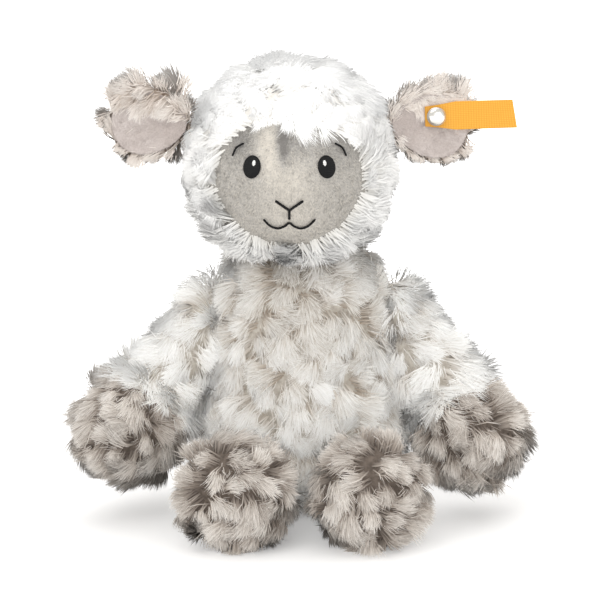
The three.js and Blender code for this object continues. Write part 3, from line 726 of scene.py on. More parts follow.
def build_pile(name, body, material, centres, facing, tone, coat, draw):
    """One mesh of spikes along the fibres' centre points."""
    stations = np.array(coat["stations"])
    count, rings = len(centres), len(stations) - 1
    widths = np.array(coat["widths"]) / 1
    phase = math.pi / 2 + draw.normal(0, 0.25, count)
    tangents = unit(np.gradient(centres, axis=1))
    side = unit(np.cross(tangents, facing))
    other = np.cross(tangents, side)
    spots = np.empty((count, 3 * rings + 1, 3))
    shine = np.empty_like(spots)
    for k in range(rings):
        for j in range(3):
            angle = (phase + 2 * math.pi * j / 3)[:, None]
            out = side[:, k] * np.cos(angle) + other[:, k] * np.sin(angle)
            spots[:, 3 * k + j] = centres[:, k] + out * widths[k] / 2
            shine[:, 3 * k + j] = facing[:, k] + out * coat["crisp"]
    spots[:, -1] = centres[:, -1]
    shine[:, -1] = facing[:, -1]
    spots[:, :, 2] = np.maximum(spots[:, :, 2], LOWEST_PILE)
    faces, across, along = spike_pattern(rings)
    corner = (faces[None] + (np.arange(count) * spots.shape[1])[:, None, None]).reshape(-1)
    u = (tone[:, None, None] + across[None] * TONE_STEP).reshape(-1)
    v = np.broadcast_to(0.02 + 0.96 * stations[along][None], (count, *along.shape)).reshape(-1)
    mesh = bpy.data.meshes.new(name)
    mesh.vertices.add(count * spots.shape[1])
    mesh.vertices.foreach_set("co", (spots * MM).ravel())
    mesh.loops.add(len(corner))
    mesh.loops.foreach_set("vertex_index", corner.astype(np.int32))
    mesh.polygons.add(len(corner) // 3)
    mesh.polygons.foreach_set("loop_start", np.arange(0, len(corner), 3, dtype=np.int32))
    chart = mesh.uv_layers.new(name="OFBake")
    mesh.update(calc_edges=True)
    chart.data.foreach_set("uv", np.column_stack([u, v]).astype(np.float32).ravel())
    mesh.polygons.foreach_set("use_smooth", np.ones(len(corner) // 3, bool))
    mesh.normals_split_custom_set_from_vertices(unit(shine).reshape(-1, 3).tolist())
    mesh.materials.append(material)
    piece = add_object(name, mesh)
    # Thin polyester lets light through: the skin beneath a pile throws its shadow
    piece.visible_shadow = False
    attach(piece, body)


def coat_of(**changes):
    """How a pile lies. Lengths in mm, angles in degrees, the rest as shares of the length.

    A share long of the fibres run from the root; the finer others only show their outer half.
    """
    coat = dict(
        density=3.6, lock=8.5, length=15.0, uneven=0.3, rise=0.75, hook=0.75, curl=0.3, crown=1.4,
        waist=(0.1, 0.45), end=(-0.4, 0.25), blunt=0.5, swirl=55.0, swirl_mm=12.0, scatter=34.0,
        stray=11.0, phase=0.0, tone=0.6, tone_spread=0.16, streak=0.15, shade=0.75,
        crisp=0.2, turned=0.6,
        widths=(0.8, 0.6), stations=(0.0, 0.5, 1.0), long=0.2, fine=0.4, sink=1.0,
    )
    coat.update(changes)
    return coat


def nap_coat(**changes):
    """The short upright nap of velour, without locks to speak of."""
    return coat_of(**{**dict(
        lock=1.8, uneven=0.2, rise=0.45, hook=0.6, curl=0.15, crown=0.0, waist=(0.0, 0.2),
        end=(0.0, 0.2), blunt=0.0, swirl=30.0, scatter=18.0, stray=12.0, crisp=0.3,
        widths=(0.42,), stations=(0.0, 1.0), long=1.0, shade=0.0, turned=0.3, sink=0.3,
    ), **changes})


def grow(name, body, skin, material, coat, seed, where, flow_at, length_at=None, parts=None,
         pressed=None, lifted=None, tone_at=None):
    """Grows a pile on the part of a skin that where picks, combed along flow_at.

    parts names further conditions that share the pile out over several meshes, pressed moves the
    fibres' centre points from where no fibre may be, lifted moves the roots off the skin, and
    tone_at makes places darker or lighter, as for a painted shadow.
    """
    draw = np.random.default_rng(seed)
    density = coat["density"] * 1
    points, normals = skin_points(skin, density, draw)
    kept = where(points, normals)
    points, normals = points[kept], normals[kept]
    share = np.ones(len(points)) if length_at is None else length_at(points, normals)
    rooted = points - normals * coat["sink"]
    if lifted:
        rooted = lifted(rooted)
    flow = flow_at(points, normals)
    centres, facing, tone = fibre_paths(rooted, normals, flow, coat, share, draw)
    if tone_at:
        tone = np.clip(tone + tone_at(points), 0.01, 0.97)
    if pressed:
        centres = pressed(centres.reshape(-1, 3)).reshape(centres.shape)
    is_long = draw.random(len(points)) < coat["long"]
    ends = dict(coat, stations=coat["stations"][1:], widths=(coat["fine"],))
    for part, belongs in (parts or {"": lambda p: np.ones(len(p), bool)}).items():
        mine = belongs(points)
        whole, outer = mine & is_long, mine & ~is_long
        build_pile(name + part, body, material, centres[whole], facing[whole], tone[whole], coat,
                   draw)
        if outer.any():
            build_pile(f"{name}_ends{part}", body, material, centres[outer, 1:], facing[outer, 1:],
                       tone[outer], ends, draw)


def halves(middle=0.0):
    """Shares a pile out to the left and the right of a place across the toy."""
    return {"_left": lambda p: p[:, 0] < middle, "_right": lambda p: p[:, 0] >= middle}


# Stage: camera, light and floor

# The sky is white where it is seen, and lights the toy with this share of it
AMBIENT = 0.68
# The floor seen directly is lifted to white with distance, so that the shadow stays by the toy
FLOOR_GLOW = 0.16
SHADOW_WITHIN = 0.12
WHITE_FROM = 0.55
SOFTBOX_SIZE = 1300.0
LIT_PLACE = (0, 0, 90)


def look_along(thing, direction):
    thing.rotation_euler = direction.to_track_quat("-Z", "Y").to_euler()


def build_camera():
    elevation = math.radians(CAMERA_ELEVATION)
    back = Vector((0, -math.cos(elevation), math.sin(elevation)))
    data = bpy.data.cameras.new("camera")
    data.sensor_width = SENSOR
    data.lens = SENSOR * CAMERA_DISTANCE / VIEW_WIDTH
    data.clip_end = 50
    camera = add_object("camera", data)
    camera.location = (Vector(CAMERA_TARGET) + back * CAMERA_DISTANCE) * MM
    look_along(camera, -back)
    bpy.context.scene.camera = camera


def add_softbox(name, place_mm, watts):
    data = bpy.data.lights.new(name, "AREA")
    data.shape = "DISK"
    data.size = SOFTBOX_SIZE * MM
    data.energy = watts
    lamp = add_object(name, data)
    lamp.location = Vector(place_mm) * MM
    look_along(lamp, Vector(LIT_PLACE) * MM - lamp.location)


def seen_directly(tree):
    """1 for what the camera sees itself or in a mirror or glass, else 0."""
    rays = add_node(tree, "ShaderNodeLightPath").outputs
    first = add_math(tree, "MAXIMUM", rays["Is Camera Ray"], rays["Is Glossy Ray"])
    return add_math(tree, "MAXIMUM", first, rays["Is Transmission Ray"])


def build_world():
    world = bpy.data.worlds.new("studio")
    bpy.context.scene.world = world
    tree = empty_tree(world)
    seen = seen_directly(tree)
    strength = add_range(tree, seen, 0.0, 1.0, AMBIENT, 1.0)
    tint = add_blend(tree, seen, (1, 0.98, 0.95, 1), (1, 1, 1, 1))
    sky = add_node(tree, "ShaderNodeBackground", {"Color": tint, "Strength": strength})
    add_node(tree, "ShaderNodeOutputWorld", {"Surface": sky.outputs[0]})


def build_floor():
    rest_selection()
    bpy.ops.mesh.primitive_plane_add(size=16)
    floor = bpy.context.object
    floor.name = "floor"
    material, tree = new_material("pale_paper_floor")
    paper = add_node(tree, "ShaderNodeBsdfDiffuse", {"Color": linear("#F4F4F4")})
    place = add_node(tree, "ShaderNodeTexCoord").outputs["Object"]
    away = add_node(tree, "ShaderNodeVectorMath", {0: place}, operation="LENGTH").outputs["Value"]
    level = add_range(tree, away, SHADOW_WITHIN, WHITE_FROM, FLOOR_GLOW, 1.0,
                      interpolation_type="SMOOTHSTEP")
    glow = add_math(tree, "MULTIPLY", seen_directly(tree), level)
    shine = add_node(tree, "ShaderNodeEmission", {"Color": (1, 1, 1, 1), "Strength": glow})
    both = add_node(tree, "ShaderNodeAddShader", {0: paper.outputs[0], 1: shine.outputs[0]})
    add_node(tree, "ShaderNodeOutputMaterial", {"Surface": both.outputs[0]})
    floor.data.materials.append(material)


def build_lights():
    build_world()
    add_softbox("key_softbox", (-600, -700, 1400), 9)
    add_softbox("fill_softbox", (450, -1300, 140), 8)
    add_softbox("top_softbox", (100, 600, 1400), 10)


# Torso and neck

def wear(piece, body, material, *nodes):
    """Gives a skin its cloth with its slot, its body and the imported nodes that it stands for."""
    piece.data.materials.clear()
    piece.data.materials.append(material)
    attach(piece, body)
    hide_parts(*nodes)


def front_and_back(shown, middle):
    """Shares out what is shown at a place between the front and the back."""
    return (
        lambda points, normals: shown(points) & (points[:, 1] < middle),
        lambda points, normals: shown(points) & (points[:, 1] >= middle),
    )


NECK = np.array([0.0, 0.0, TORSO_DOME_HEIGHT])
# The plane of the arms' roots on the torso: its slope across and up, and how far out it lies
SHOULDER_FLAT = (0.985, 0.174, 55.6)


def inside_head(points, growth):
    return np.sum(((points - HEAD_MIDDLE) / (HEAD_HALF + growth)) ** 2, axis=1) < 1


def torso_flow(points, normals):
    """Down the torso and outwards from its middle line, and out over the arms at the shoulders."""
    drift = np.clip(points[:, 0] / 30, -1, 1)
    high = np.clip((points[:, 2] - 62) / 25, 0, 1)
    shoulder = high * np.clip(np.abs(points[:, 0]) / 30 - 0.5, 0, 1)
    return np.column_stack([
        (0.7 + 1.2 * shoulder) * drift, np.full(len(points), -0.1), -1 + 0.5 * shoulder,
    ])


def build_torso():
    skin = add_spun("body_skin", torso_profile(SKIN_INSET), Matrix.Identity(4))
    wear(skin, "torso", cream_backing, "body_cover", "body_filling")
    stuff(skin, lambda p: (p[:, 2] > 130) | (p[:, 2] < 5), cap=2.5)

    def shown(points):
        """All but what the head, the floor and the roots of the arms hide."""
        hidden = inside_head(points, -9) | (points[:, 2] < 2.5)
        across, up, reach = SHOULDER_FLAT
        in_flat = np.abs(points[:, 0]) * across + points[:, 2] * up > reach
        at_root = in_flat & (np.hypot(points[:, 1] + 2, points[:, 2] - 97) < 14)
        return ~hidden & ~at_root

    def head_shadow_on_chest(points):
        """Painted shadow of the head: the pile's tone is lowered on the upper chest, most in its
        middle.
        """
        middle = np.clip(1.5 - np.abs(points[:, 0]) / 22, 0, 1)
        return -0.45 * np.clip((points[:, 2] - 70) / 30, 0, 1) * middle

    near_front, near_back = front_and_back(shown, 4)
    # The torso's pile has a lower tone than the arms': partly a beiger cloth, partly painted shade
    # under the head.
    front = coat_of(length=13.5, phase=2.0, tone=0.42, lock=8.0, tone_spread=0.2)
    back = dict(front, density=2.2, widths=(1.0, 0.8), fine=0.5)
    grow("body_pile_front", "torso", skin, cream_fibre, front, 11, near_front, torso_flow,
         parts=halves(), tone_at=head_shadow_on_chest)
    grow("body_pile_back", "torso", skin, cream_fibre, back, 12, near_back, torso_flow,
         tone_at=head_shadow_on_chest)


def build_neck():
    """A gathered collar where the head cover is drawn in on the torso."""
    rest_selection()
    bpy.ops.mesh.primitive_torus_add(
        major_radius=18.7 * MM, minor_radius=1.5 * MM, major_segments=96, minor_segments=12,
        location=Vector((0, 0, 131.1)) * MM,
    )
    collar = bpy.context.object
    collar.name = "neck_gather"
    bpy.ops.object.transform_apply(location=True, rotation=False, scale=False)
    places = vertex_places(collar)
    angle = np.arctan2(places[:, 1], places[:, 0])
    pleat = 0.45 * np.sin(24 * angle)
    places += unit(places - NECK) * pleat[:, None]
    move_vertices(collar, places)
    smooth(collar)
    wear(collar, "neck", cream_backing, "neck_seam")


# Head

def on_panel(points):
    """How far points lie across and up from the middle of the face."""
    return points[:, 0] - FACE_MIDDLE[0], points[:, 2] - FACE_MIDDLE[2]


def panel_radius(points):
    """1 on the edge of the face opening, less inside it."""
    x, z = (run / half for run, half in zip(on_panel(points), PANEL_HALF))
    return np.hypot(x / (1 + PANEL_TAPER * np.clip(z, -1, 1)), z)


def before_head(points, depth=0.0):
    """Whether points lie so far in front of the middle of the head."""
    return points[:, 1] < HEAD_MIDDLE[1] - depth


def at_brow(points, top):
    """1 on the pile over the face, up to so far above the panel's middle."""
    z = on_panel(points)[1]
    return before_head(points, 10) * np.clip((z - 16) / 8, 0, 1) * np.clip((top - z) / 6, 0, 1)


def at_forelock(points):
    """1 in the middle of the forelock, over the brow, and 0 away from it."""
    across = (on_panel(points)[0] - FORELOCK[0]) / FORELOCK[1]
    return at_brow(points, 44) * np.exp(-across ** 2)


def head_flow(points, normals):
    """Down and back from the crown, out from the face at its sides and below, over it on top."""
    crown = HEAD_MIDDLE + np.array([-4, 30, 38])
    from_crown = along_surface(points - crown, normals)
    x, z = on_panel(points)
    out_of_face = along_surface(np.column_stack([x, np.full(len(points), 6.0), z]), normals)
    near = np.clip(1.9 - panel_radius(points), 0, 1) * before_head(points)
    low = np.clip(1.25 - z / 30, 0.3, 1) * (1 - at_forelock(points))
    share = (near * low)[:, None]
    return unit(from_crown * (1 - share) + out_of_face * share * 1.4)


def build_head():
    skin = add_ball("head_skin", HEAD_HALF - SKIN_INSET, HEAD_MIDDLE, 56, 40)
    places = vertex_places(skin)
    away = places - NECK
    distance = np.linalg.norm(away, axis=1, keepdims=True)
    socket = TORSO_DOME + 1.0
    places = np.where(distance < socket, NECK + away / distance * socket, places)
    move_vertices(skin, places)
    wear(skin, "head", white_backing, "head_cover", "head_filling")
    stuff(skin, lambda p: np.linalg.norm(p - NECK, axis=1) < socket + 2, cap=1.5)

    def covered(points):
        """What the neck and the face hide."""
        by_dome = np.linalg.norm(points - NECK, axis=1) < socket + 1
        face = (panel_radius(points) < 0.965) & before_head(points)
        return by_dome & (np.hypot(points[:, 0], points[:, 1]) < 18) | face

    def longer_ruff(points, normals):
        """Longer on the cheeks, the chin and the crown, short at the brow but for the forelock."""
        below = np.clip((HEAD_MIDDLE[2] - 8 - points[:, 2]) / 25, 0, 1)
        crown = np.clip((points[:, 2] - HEAD_MIDDLE[2] - 25) / 20, 0, 1)
        brow = at_brow(points, 40)
        return 1 + 0.3 * below + 0.35 * crown - 0.45 * brow + 0.1 * at_forelock(points)

    def over_the_face(roots):
        """Roots at the edge of the opening come out on the face, not inside it."""
        x, z = on_panel(roots)
        on_face = (x / FACE_HALF[0]) ** 2 + (z / FACE_HALF[2]) ** 2 < 0.98
        depth = np.where(before_head(roots, 6) & on_face, face_depth(x, z) + 0.8, np.inf)
        return np.column_stack([roots[:, 0], np.minimum(roots[:, 1], depth), roots[:, 2]])

    fluff = coat_of(
        density=4.2, length=12.0, lock=7.0, rise=0.74, hook=0.9, swirl=18.0, scatter=32.0,
        tone=0.85, waist=(0.0, 0.25), end=(-0.35, 0.15), blunt=0.5, uneven=0.35, crisp=0.1,
        shade=0.35, phase=5.0, tone_spread=0.12, streak=0.08, curl=0.45, crown=1.2,
        widths=(0.85, 0.65), turned=0.35,
    )
    hanging = dict(
        fluff, density=5.0, length=15.0, lock=4.5, rise=0.22, hook=0.45, swirl=14.0,
        waist=(0.3, 0.6), end=(0.1, 0.7), widths=(0.6, 0.45), tone=0.95,
    )
    back = dict(fluff, density=2.4, widths=(1.0, 0.8), fine=0.5)
    near_front, near_back = front_and_back(lambda points: ~covered(points), HEAD_MIDDLE[1] + 8)
    grow("head_pile_front", "head", skin, white_fibre, fluff, 21, near_front, head_flow,
         longer_ruff, halves(HEAD_MIDDLE[0]), lifted=over_the_face)
    grow("head_pile_back", "head", skin, white_fibre, back, 22, near_back, head_flow, longer_ruff)

    def along_brow(points, normals):
        return (at_forelock(points) > 0.25) & (panel_radius(points) < 1.16) & ~covered(points)

    def straight_down(points, normals):
        across = (on_panel(points)[0] - FORELOCK[0]) / FORELOCK[1]
        return along_surface(np.column_stack([0.35 * across, 0 * across, -1 + 0 * across]), normals)

    grow("head_forelock", "head", skin, white_fibre, hanging, 23, along_brow, straight_down,
         lambda points, normals: 0.6 + 0.5 * at_forelock(points), lifted=over_the_face)
    # The pile round the opening grows on a smooth curve; only then the skin goes behind the face
    places = vertex_places(skin)
    behind = face_depth(*on_panel(places)) + 3
    opening = (panel_radius(places) < 0.99) & before_head(places, 10)
    pushed = np.clip(behind, places[:, 1], places[:, 1] + 7)
    places[:, 1] = np.where(opening, pushed, places[:, 1])
    move_vertices(skin, places)


# Face

def face_depth(x, z, growth=0.0):
    """The face's surface: y at places across and up from the middle of the panel."""
    half = FACE_HALF + growth
    inside = np.clip(1 - (x / half[0]) ** 2 - (z / half[2]) ** 2, 0.02, 1)
    return FACE_MIDDLE[1] - half[1] * np.sqrt(inside)


EYE = dict(half=(4.1, 5.4), lean=13.0, place=(17.5, 8.6))
GLINT = dict(half=(1.05, 1.75), inward=0.9, rise=1.9)
BROW = dict(inner=(21.3, 19.1), outer=(26.8, 12.9), arch=1.6)
NOSE = dict(wing=(6.6, -6.8), tip=(0.0, -11.5), stem_end=(0.0, -16.2))
MOUTH = ((-12.2, -16.3), (-9.0, -19.6), (-5.4, -20.8), (-2.2, -19.6), (0.0, -17.9),
         (2.2, -19.6), (5.4, -20.8), (9.0, -19.6), (12.2, -16.3))


def stitched_lines():
    """The sewn lines of the face, as points across and up from the middle of the panel."""
    lines = {}
    for name, side in SIDES:
        inner, outer = np.array(BROW["inner"]), np.array(BROW["outer"])
        middle = (inner + outer) / 2 + BROW["arch"] / 2
        lines[f"brow_{name}"] = np.array([inner, middle, outer]) * (side, 1)
    wing, tip = np.array(NOSE["wing"]), np.array(NOSE["tip"])
    lines["nose_left"] = np.array([wing * (-1, 1), tip])
    lines["nose_right"] = np.array([wing, tip])
    lines["nose_stem"] = np.array([tip, NOSE["stem_end"]])
    lines["mouth"] = np.array(MOUTH)
    return lines


def finer(points, step=0.4):
    """Points along a smooth line through the given ones."""
    if len(points) > 2:
        before = 2 * points[0] - points[1]
        after = 2 * points[-1] - points[-2]
        padded = np.vstack([before, points, after])
        rows = []
        for a, b, c, d in zip(padded, padded[1:], padded[2:], padded[3:]):
            for t in np.linspace(0, 1, 9)[:-1]:
                rows.append(0.5 * (
                    2 * b + (c - a) * t + (2 * a - 5 * b + 4 * c - d) * t ** 2
                    + (3 * b - a - 3 * c + d) * t ** 3
                ))
        points = np.vstack([rows, points[-1:]])
    lengths = np.r_[0, np.cumsum(np.linalg.norm(np.diff(points, axis=0), axis=1))]
    at = np.linspace(0, lengths[-1], max(3, int(lengths[-1] / step)))
    return np.column_stack([np.interp(at, lengths, points[:, k]) for k in range(2)])


def face_tone(x, z):
    """A dark streak and a pale patch on a grey forehead, taupe cheeks, beige bridge and muzzle."""
    def spot(across, up, width, height):
        return np.exp(-((x - across) / width) ** 2 - ((z - up) / height) ** 2)

    tone = 0.5 + 0.0 * x
    tone += 0.5 * spot(-10.5, 19, 5.5, 10) + 0.3 * spot(-4, 5, 9, 10) + 0.15 * spot(6, 2, 7, 8)
    tone += 0.3 * spot(0, -15, 13, 12)
    tone -= 0.85 * spot(-2.8, 19, 2.6, 9) + 0.3 * spot(6, 22, 7, 7)
    tone -= 0.4 * spot(-22, 22, 8, 10) + 0.3 * spot(24, 20, 9, 10)
    return tone


def build_face():
    skin = add_ball("face_skin", FACE_HALF - 0.6, FACE_MIDDLE, 96, 64)
    bisect(skin, FACE_MIDDLE + np.array([0, -6.0, 0]), (0, 1, 0))
    paint_tone(skin, face_tone(*on_panel(vertex_places(skin))))
    wear(skin, "head", face_velour, "face_panel")

    lines = np.vstack([finer(points) for points in stitched_lines().values()])

    def off_lines(spots):
        return np.linalg.norm(spots[:, None] - lines[None], axis=2).min(axis=1) > 0.9

    def bare(points):
        """The velour that no stitch covers."""
        x, z = on_panel(points)
        clear = in_blocks(np.column_stack([x, z]), off_lines)
        for _, side in SIDES:
            lean = math.radians(side * EYE["lean"])
            dx, dz = x - side * EYE["place"][0], z - EYE["place"][1]
            ex = (dx * math.cos(lean) + dz * math.sin(lean)) / (EYE["half"][0] + 0.2)
            ez = (dz * math.cos(lean) - dx * math.sin(lean)) / (EYE["half"][1] + 0.2)
            clear &= np.hypot(ex, ez) > 1
        return clear & (panel_radius(points) < 1.07) & (points[:, 1] < FACE_MIDDLE[1] - 8)

    draw = np.random.default_rng(31)
    density = 5.0 * 1
    points, normals = skin_points(skin, density, draw)
    kept = bare(points)
    points, normals = points[kept], normals[kept]
    x, z = on_panel(points)
    aside = 0.35 * x / 36 + 0.5 * ripple(points, 9.0, 1.0)
    flow = np.column_stack([aside, np.zeros(len(x)), np.full(len(x), -1.0)])
    coat = nap_coat(length=2.0, swirl_mm=7.0)
    rooted = points - normals * coat["sink"]
    centres, facing, _ = fibre_paths(rooted, normals, flow, coat, np.ones(len(x)), draw)
    grain = 0.22 * ripple(points, 0.35, 2.0) + 0.1 * ripple(points, 0.8, 5.0)
    grain = grain + draw.normal(0, 0.24, len(x))
    tones = np.clip(face_tone(x, z) + grain, 0.01, 0.97)
    build_pile("face_nap", "head", nap_fibre, centres, facing, tones, coat, draw)


def add_pad(name, half, place, lean, height, depth, material, node):
    """A satin-stitched oval that bulges from the face."""
    pad = add_ball(name, (1, 1, 1), (0, 0, 0), 32, 20)
    x, y, z = vertex_places(pad).T
    lean = math.radians(lean)
    across = half[0] * x * math.cos(lean) - half[1] * z * math.sin(lean) + place[0]
    up = half[0] * x * math.sin(lean) + half[1] * z * math.cos(lean) + place[1]
    bulge = np.where(y < 0, height, depth) * np.abs(y)
    depths = face_depth(across, up) - np.sign(-y) * bulge
    move_vertices(pad, np.column_stack([FACE_MIDDLE[0] + across, depths, FACE_MIDDLE[2] + up]))
    clean(pad)
    wear(pad, "head", material, node)


STITCH = 1.7


def add_stitches(name, lines, material, node, radius):
    """Sewn lines: a cord of short stitches lying on the face."""
    curve = bpy.data.curves.new(name, "CURVE")
    curve.dimensions = "3D"
    curve.bevel_depth = radius * MM
    curve.bevel_resolution = 3
    curve.use_fill_caps = True
    for points in lines:
        places = finer(points, 0.3)
        depth = face_depth(places[:, 0], places[:, 1], 0.55)
        spline = curve.splines.new("POLY")
        spline.points.add(len(places) - 1)
        run = np.r_[0, np.cumsum(np.linalg.norm(np.diff(places, axis=0), axis=1))]
        for i, (place, y) in enumerate(zip(places, depth)):
            end = min(run[i], run[-1] - run[i])
            stitch = 0.92 + 0.14 * abs(math.sin(math.pi * run[i] / STITCH))
            spline.points[i].co = (
                (FACE_MIDDLE[0] + place[0]) * MM, y * MM, (FACE_MIDDLE[2] + place[1]) * MM, 1,
            )
            spline.points[i].radius = stitch * min(1, 0.55 + end / 0.9)
    take_up(add_object(name, curve))
    bpy.ops.object.convert(target="MESH")
    line = bpy.context.object
    clean(line)
    wear(line, "head", material, node)


def build_embroidery():
    lines = stitched_lines()
    for name, side in SIDES:
        place = np.array([side * EYE["place"][0], EYE["place"][1]])
        shine = place + (-side * GLINT["inward"], GLINT["rise"])
        lean = side * EYE["lean"]
        add_pad(f"eye_pad_{name}", EYE["half"], place, lean, 1.25, 0.5, black_thread,
                f"eye_{name}")
        add_pad(f"eye_shine_{name}", GLINT["half"], shine, lean, 1.65, 0.0, white_thread,
                f"eye_glint_{name}")
    for name, _ in SIDES:
        add_stitches(f"brow_line_{name}", [lines[f"brow_{name}"]], black_thread,
                     f"brow_{name}", 0.5)
    nose = [lines[f"nose_{part}"] for part in ("left", "right", "stem")]
    add_stitches("nose_line", nose, black_thread, "nose_stitch", 0.62)
    add_stitches("mouth_line", [lines["mouth"]], black_thread, "mouth_stitch", 0.55)


# Ears

def ear_cup(places, half_length, half_width, thickness, cup, middle):
    """A unit ball pressed into an egg-shaped cup, in the frame of the ear's seam."""
    x, y, z = places.T
    rim = x * x + z * z
    return np.column_stack([
        middle[0] + half_length * x,
        middle[1] + thickness / 2 * y - cup * rim,
        middle[2] + half_width * z * (1 + EAR_TAPER * x),
    ])


def ear_place(side_name, side):
    """From the frame of the ear's seam, with +X outwards, to the toy's."""
    seam = JOINT_AT[f"ear_{side_name}_flap"]
    turn = Matrix.Rotation(math.radians(side * EAR_DROOP[side_name]), 4, "Y")
    return Matrix.Translation(Vector(seam)) @ turn @ Matrix.Diagonal((side, 1, 1, 1))


def move_by(places, matrix):
    rows = np.array(matrix)
    return places @ rows[:3, :3].T + rows[:3, 3]


LINING_CUP = EAR_CUP * (LINING_HALF[0] / (EAR_LENGTH / 2)) ** 2
LINING_FORWARD = (EAR_THICKNESS - LINING_THICKNESS) / 2 + LINING_PROUD


def add_cup(name, place, half_length, half_width, thickness, cup, middle):
    piece = add_ball(name, (1, 1, 1), (0, 0, 0), 56, 28)
    ball = vertex_places(piece)[:, [0, 2, 1]] * (1, -1, 1)
    cupped = ear_cup(ball, half_length, half_width, thickness, cup, middle)
    move_vertices(piece, move_by(cupped, place))
    clean(piece)
    return piece


def build_ear(side_name, side):
    body = f"ear_{side_name}"
    place = ear_place(side_name, side)
    back_to_ear = place.inverted()
    turn = np.array(place)[:3, :3]
    half_length = EAR_LENGTH / 2
    middle = np.array([half_length, EAR_CUP, 0])
    cover = add_cup(f"ear_skin_{side_name}", place, half_length - 1, EAR_HALF_WIDTH - 1,
                    EAR_THICKNESS - 2.4, EAR_CUP * 0.95, middle + np.array([0, 0.6, 0]))
    wear(cover, body, taupe_backing, f"ear_back_{side_name}")
    lining = add_cup(f"ear_velour_{side_name}", place, LINING_HALF[0] + 1, LINING_HALF[1] + 1.5,
                     LINING_THICKNESS, LINING_CUP, middle + np.array([0.5, -LINING_FORWARD, 0]))
    at = move_by(vertex_places(lining), back_to_ear)
    # The lining's tone, with a mottle: painted shade near the head, lighter towards the ear's outer
    # end as painted light.
    out = np.clip((at[:, 0] - 4) / 16, 0, 1)
    paint_tone(lining, 0.25 + 0.5 * out + 0.12 * ripple(at, 5.0, 0.4))
    wear(lining, body, ear_velour, f"ear_lining_{side_name}")

    def in_ear(points):
        return move_by(points, back_to_ear)

    def facing_back(normals):
        """1 for what faces straight back from the ear, -1 for its front."""
        return (normals @ turn)[:, 1]

    def spread(points, normals):
        """Outwards along the ear, fanning to its edges, and up from the back of its upper half."""
        at = in_ear(points)
        out, high = at[:, 0] / half_length - 1, at[:, 2] / EAR_HALF_WIDTH
        lifted = 0.9 * np.clip(high + 0.5, 0, 1) * (facing_back(normals) > -0.3)
        local_flow = np.column_stack([0.75 + 0.8 * out, -0.15 + 0 * out, 1.3 * high + lifted])
        return local_flow @ turn.T

    def downwards(points, normals):
        """From the top edge outwards and down over the lining."""
        return np.tile(np.array([0.8, -0.3, -0.6]) @ turn.T, (len(points), 1))

    def rim(points):
        """1 on the lining's edge, less inside it."""
        at = in_ear(points)
        out = (at[:, 0] - half_length - 0.5) / (LINING_HALF[0] + 0.5)
        return np.hypot(out, at[:, 2] / (LINING_HALF[1] + 1.0))

    def over_the_top(points, normals):
        """The front of the ear's upper part, which the pile hides."""
        at = in_ear(points)
        lowest = 0.5 + 0.34 * at[:, 0] if side_name == "left" else 8.0 - 0.05 * at[:, 0]
        return (facing_back(normals) < -0.1) & (at[:, 2] > lowest)

    def furred(points, normals):
        return (facing_back(normals) > 0.0) | (rim(points) > 1.0)

    coat = coat_of(
        density=5.0, length=11.0, lock=6.5, rise=0.42, shade=0.5, hook=0.5, swirl=25.0,
        scatter=22.0, crown=0.8, waist=(0.2, 0.5), end=(0.0, 0.6), tone=0.78, tone_spread=0.2,
        phase=side * 3.0, sink=0.4, widths=(0.7, 0.5),
    )
    fold = dict(
        coat, density=6.0, length=10.5, lock=4.5, rise=0.8, hook=0.9, tone=0.6, tone_spread=0.3,
        shade=0.9, waist=(0.3, 0.6), end=(0.0, 0.5), long=0.6, fine=0.5,
    )

    def longer_on_top(points, normals):
        height = in_ear(points)[:, 2] / EAR_HALF_WIDTH
        near_root = np.interp(in_ear(points)[:, 0], (4, 16, 28), (1.25, 1.05, 0.9))
        return np.interp(height, (-0.8, -0.2, 0.5), (0.7, 0.9, 1.35)) * near_root

    def paler_on_top(points):
        return 0.15 * np.clip(in_ear(points)[:, 2] / EAR_HALF_WIDTH, -1, 1)

    def behind_ribbon(points):
        """Pressed back where the ribbon sweeps in front of its ear."""
        if side_name == "left":
            return points
        at = in_ear(points)
        swept = np.hypot(at[:, 0] - RIVET_PLACE[0], at[:, 2] - RIVET_PLACE[1]) < RIBBON_REACH + 3
        limit = EAR_CUP + ribbon_back(RIBBON_REACH) + 0.35 + 0.5 * np.abs(ripple(points, 0.7, 1.0))
        at[:, 1] = np.where(swept, np.maximum(at[:, 1], limit), at[:, 1])
        return move_by(at, place)

    def over_the_lining(roots):
        """Roots come out on the lining, not inside it."""
        bulge = np.sqrt(np.clip(1.1 - rim(roots) ** 2, 0, 1))
        return roots - (2.7 * bulge + 0.2)[:, None] * turn[:, 1]

    grow(f"ear_pile_{side_name}", body, cover, ear_fibre, coat, 41 + side, furred, spread,
         longer_on_top, pressed=behind_ribbon, tone_at=paler_on_top)
    grow(f"ear_fold_{side_name}", body, cover, ear_fibre, fold, 47 + side, over_the_top, downwards,
         pressed=behind_ribbon, lifted=over_the_lining)
    nap = nap_coat(density=4.0, length=1.9, swirl_mm=6.0, tone=0.5, tone_spread=0.12, streak=0.12)

    def front_face(points, normals):
        return facing_back(normals) < -0.3

    grow(f"ear_nap_{side_name}", body, lining, pink_nap_fibre, nap, 45 + side, front_face, spread)


# Rivet and ribbon

def cup_forward(distance, half_width, thickness, cup):
    share = np.minimum(1, distance / half_width)
    return thickness / 2 * np.sqrt(1 - share ** 2) + cup * share ** 2


def ribbon_back(x):
    """How far in front of the ear's middle the ribbon's back lies, wherever it is turned."""
    off_centre = math.hypot(RIVET_PLACE[0] - EAR_LENGTH / 2, RIVET_PLACE[1])
    within = off_centre + np.linspace(0, math.hypot(x, RIBBON_WIDTH / 2), 33)
    reach = np.maximum(
        cup_forward(within, LINING_HALF[1], LINING_THICKNESS, LINING_CUP) + LINING_FORWARD,
        cup_forward(within, EAR_HALF_WIDTH, EAR_THICKNESS, EAR_CUP),
    )
    return -reach.max() - 0.5


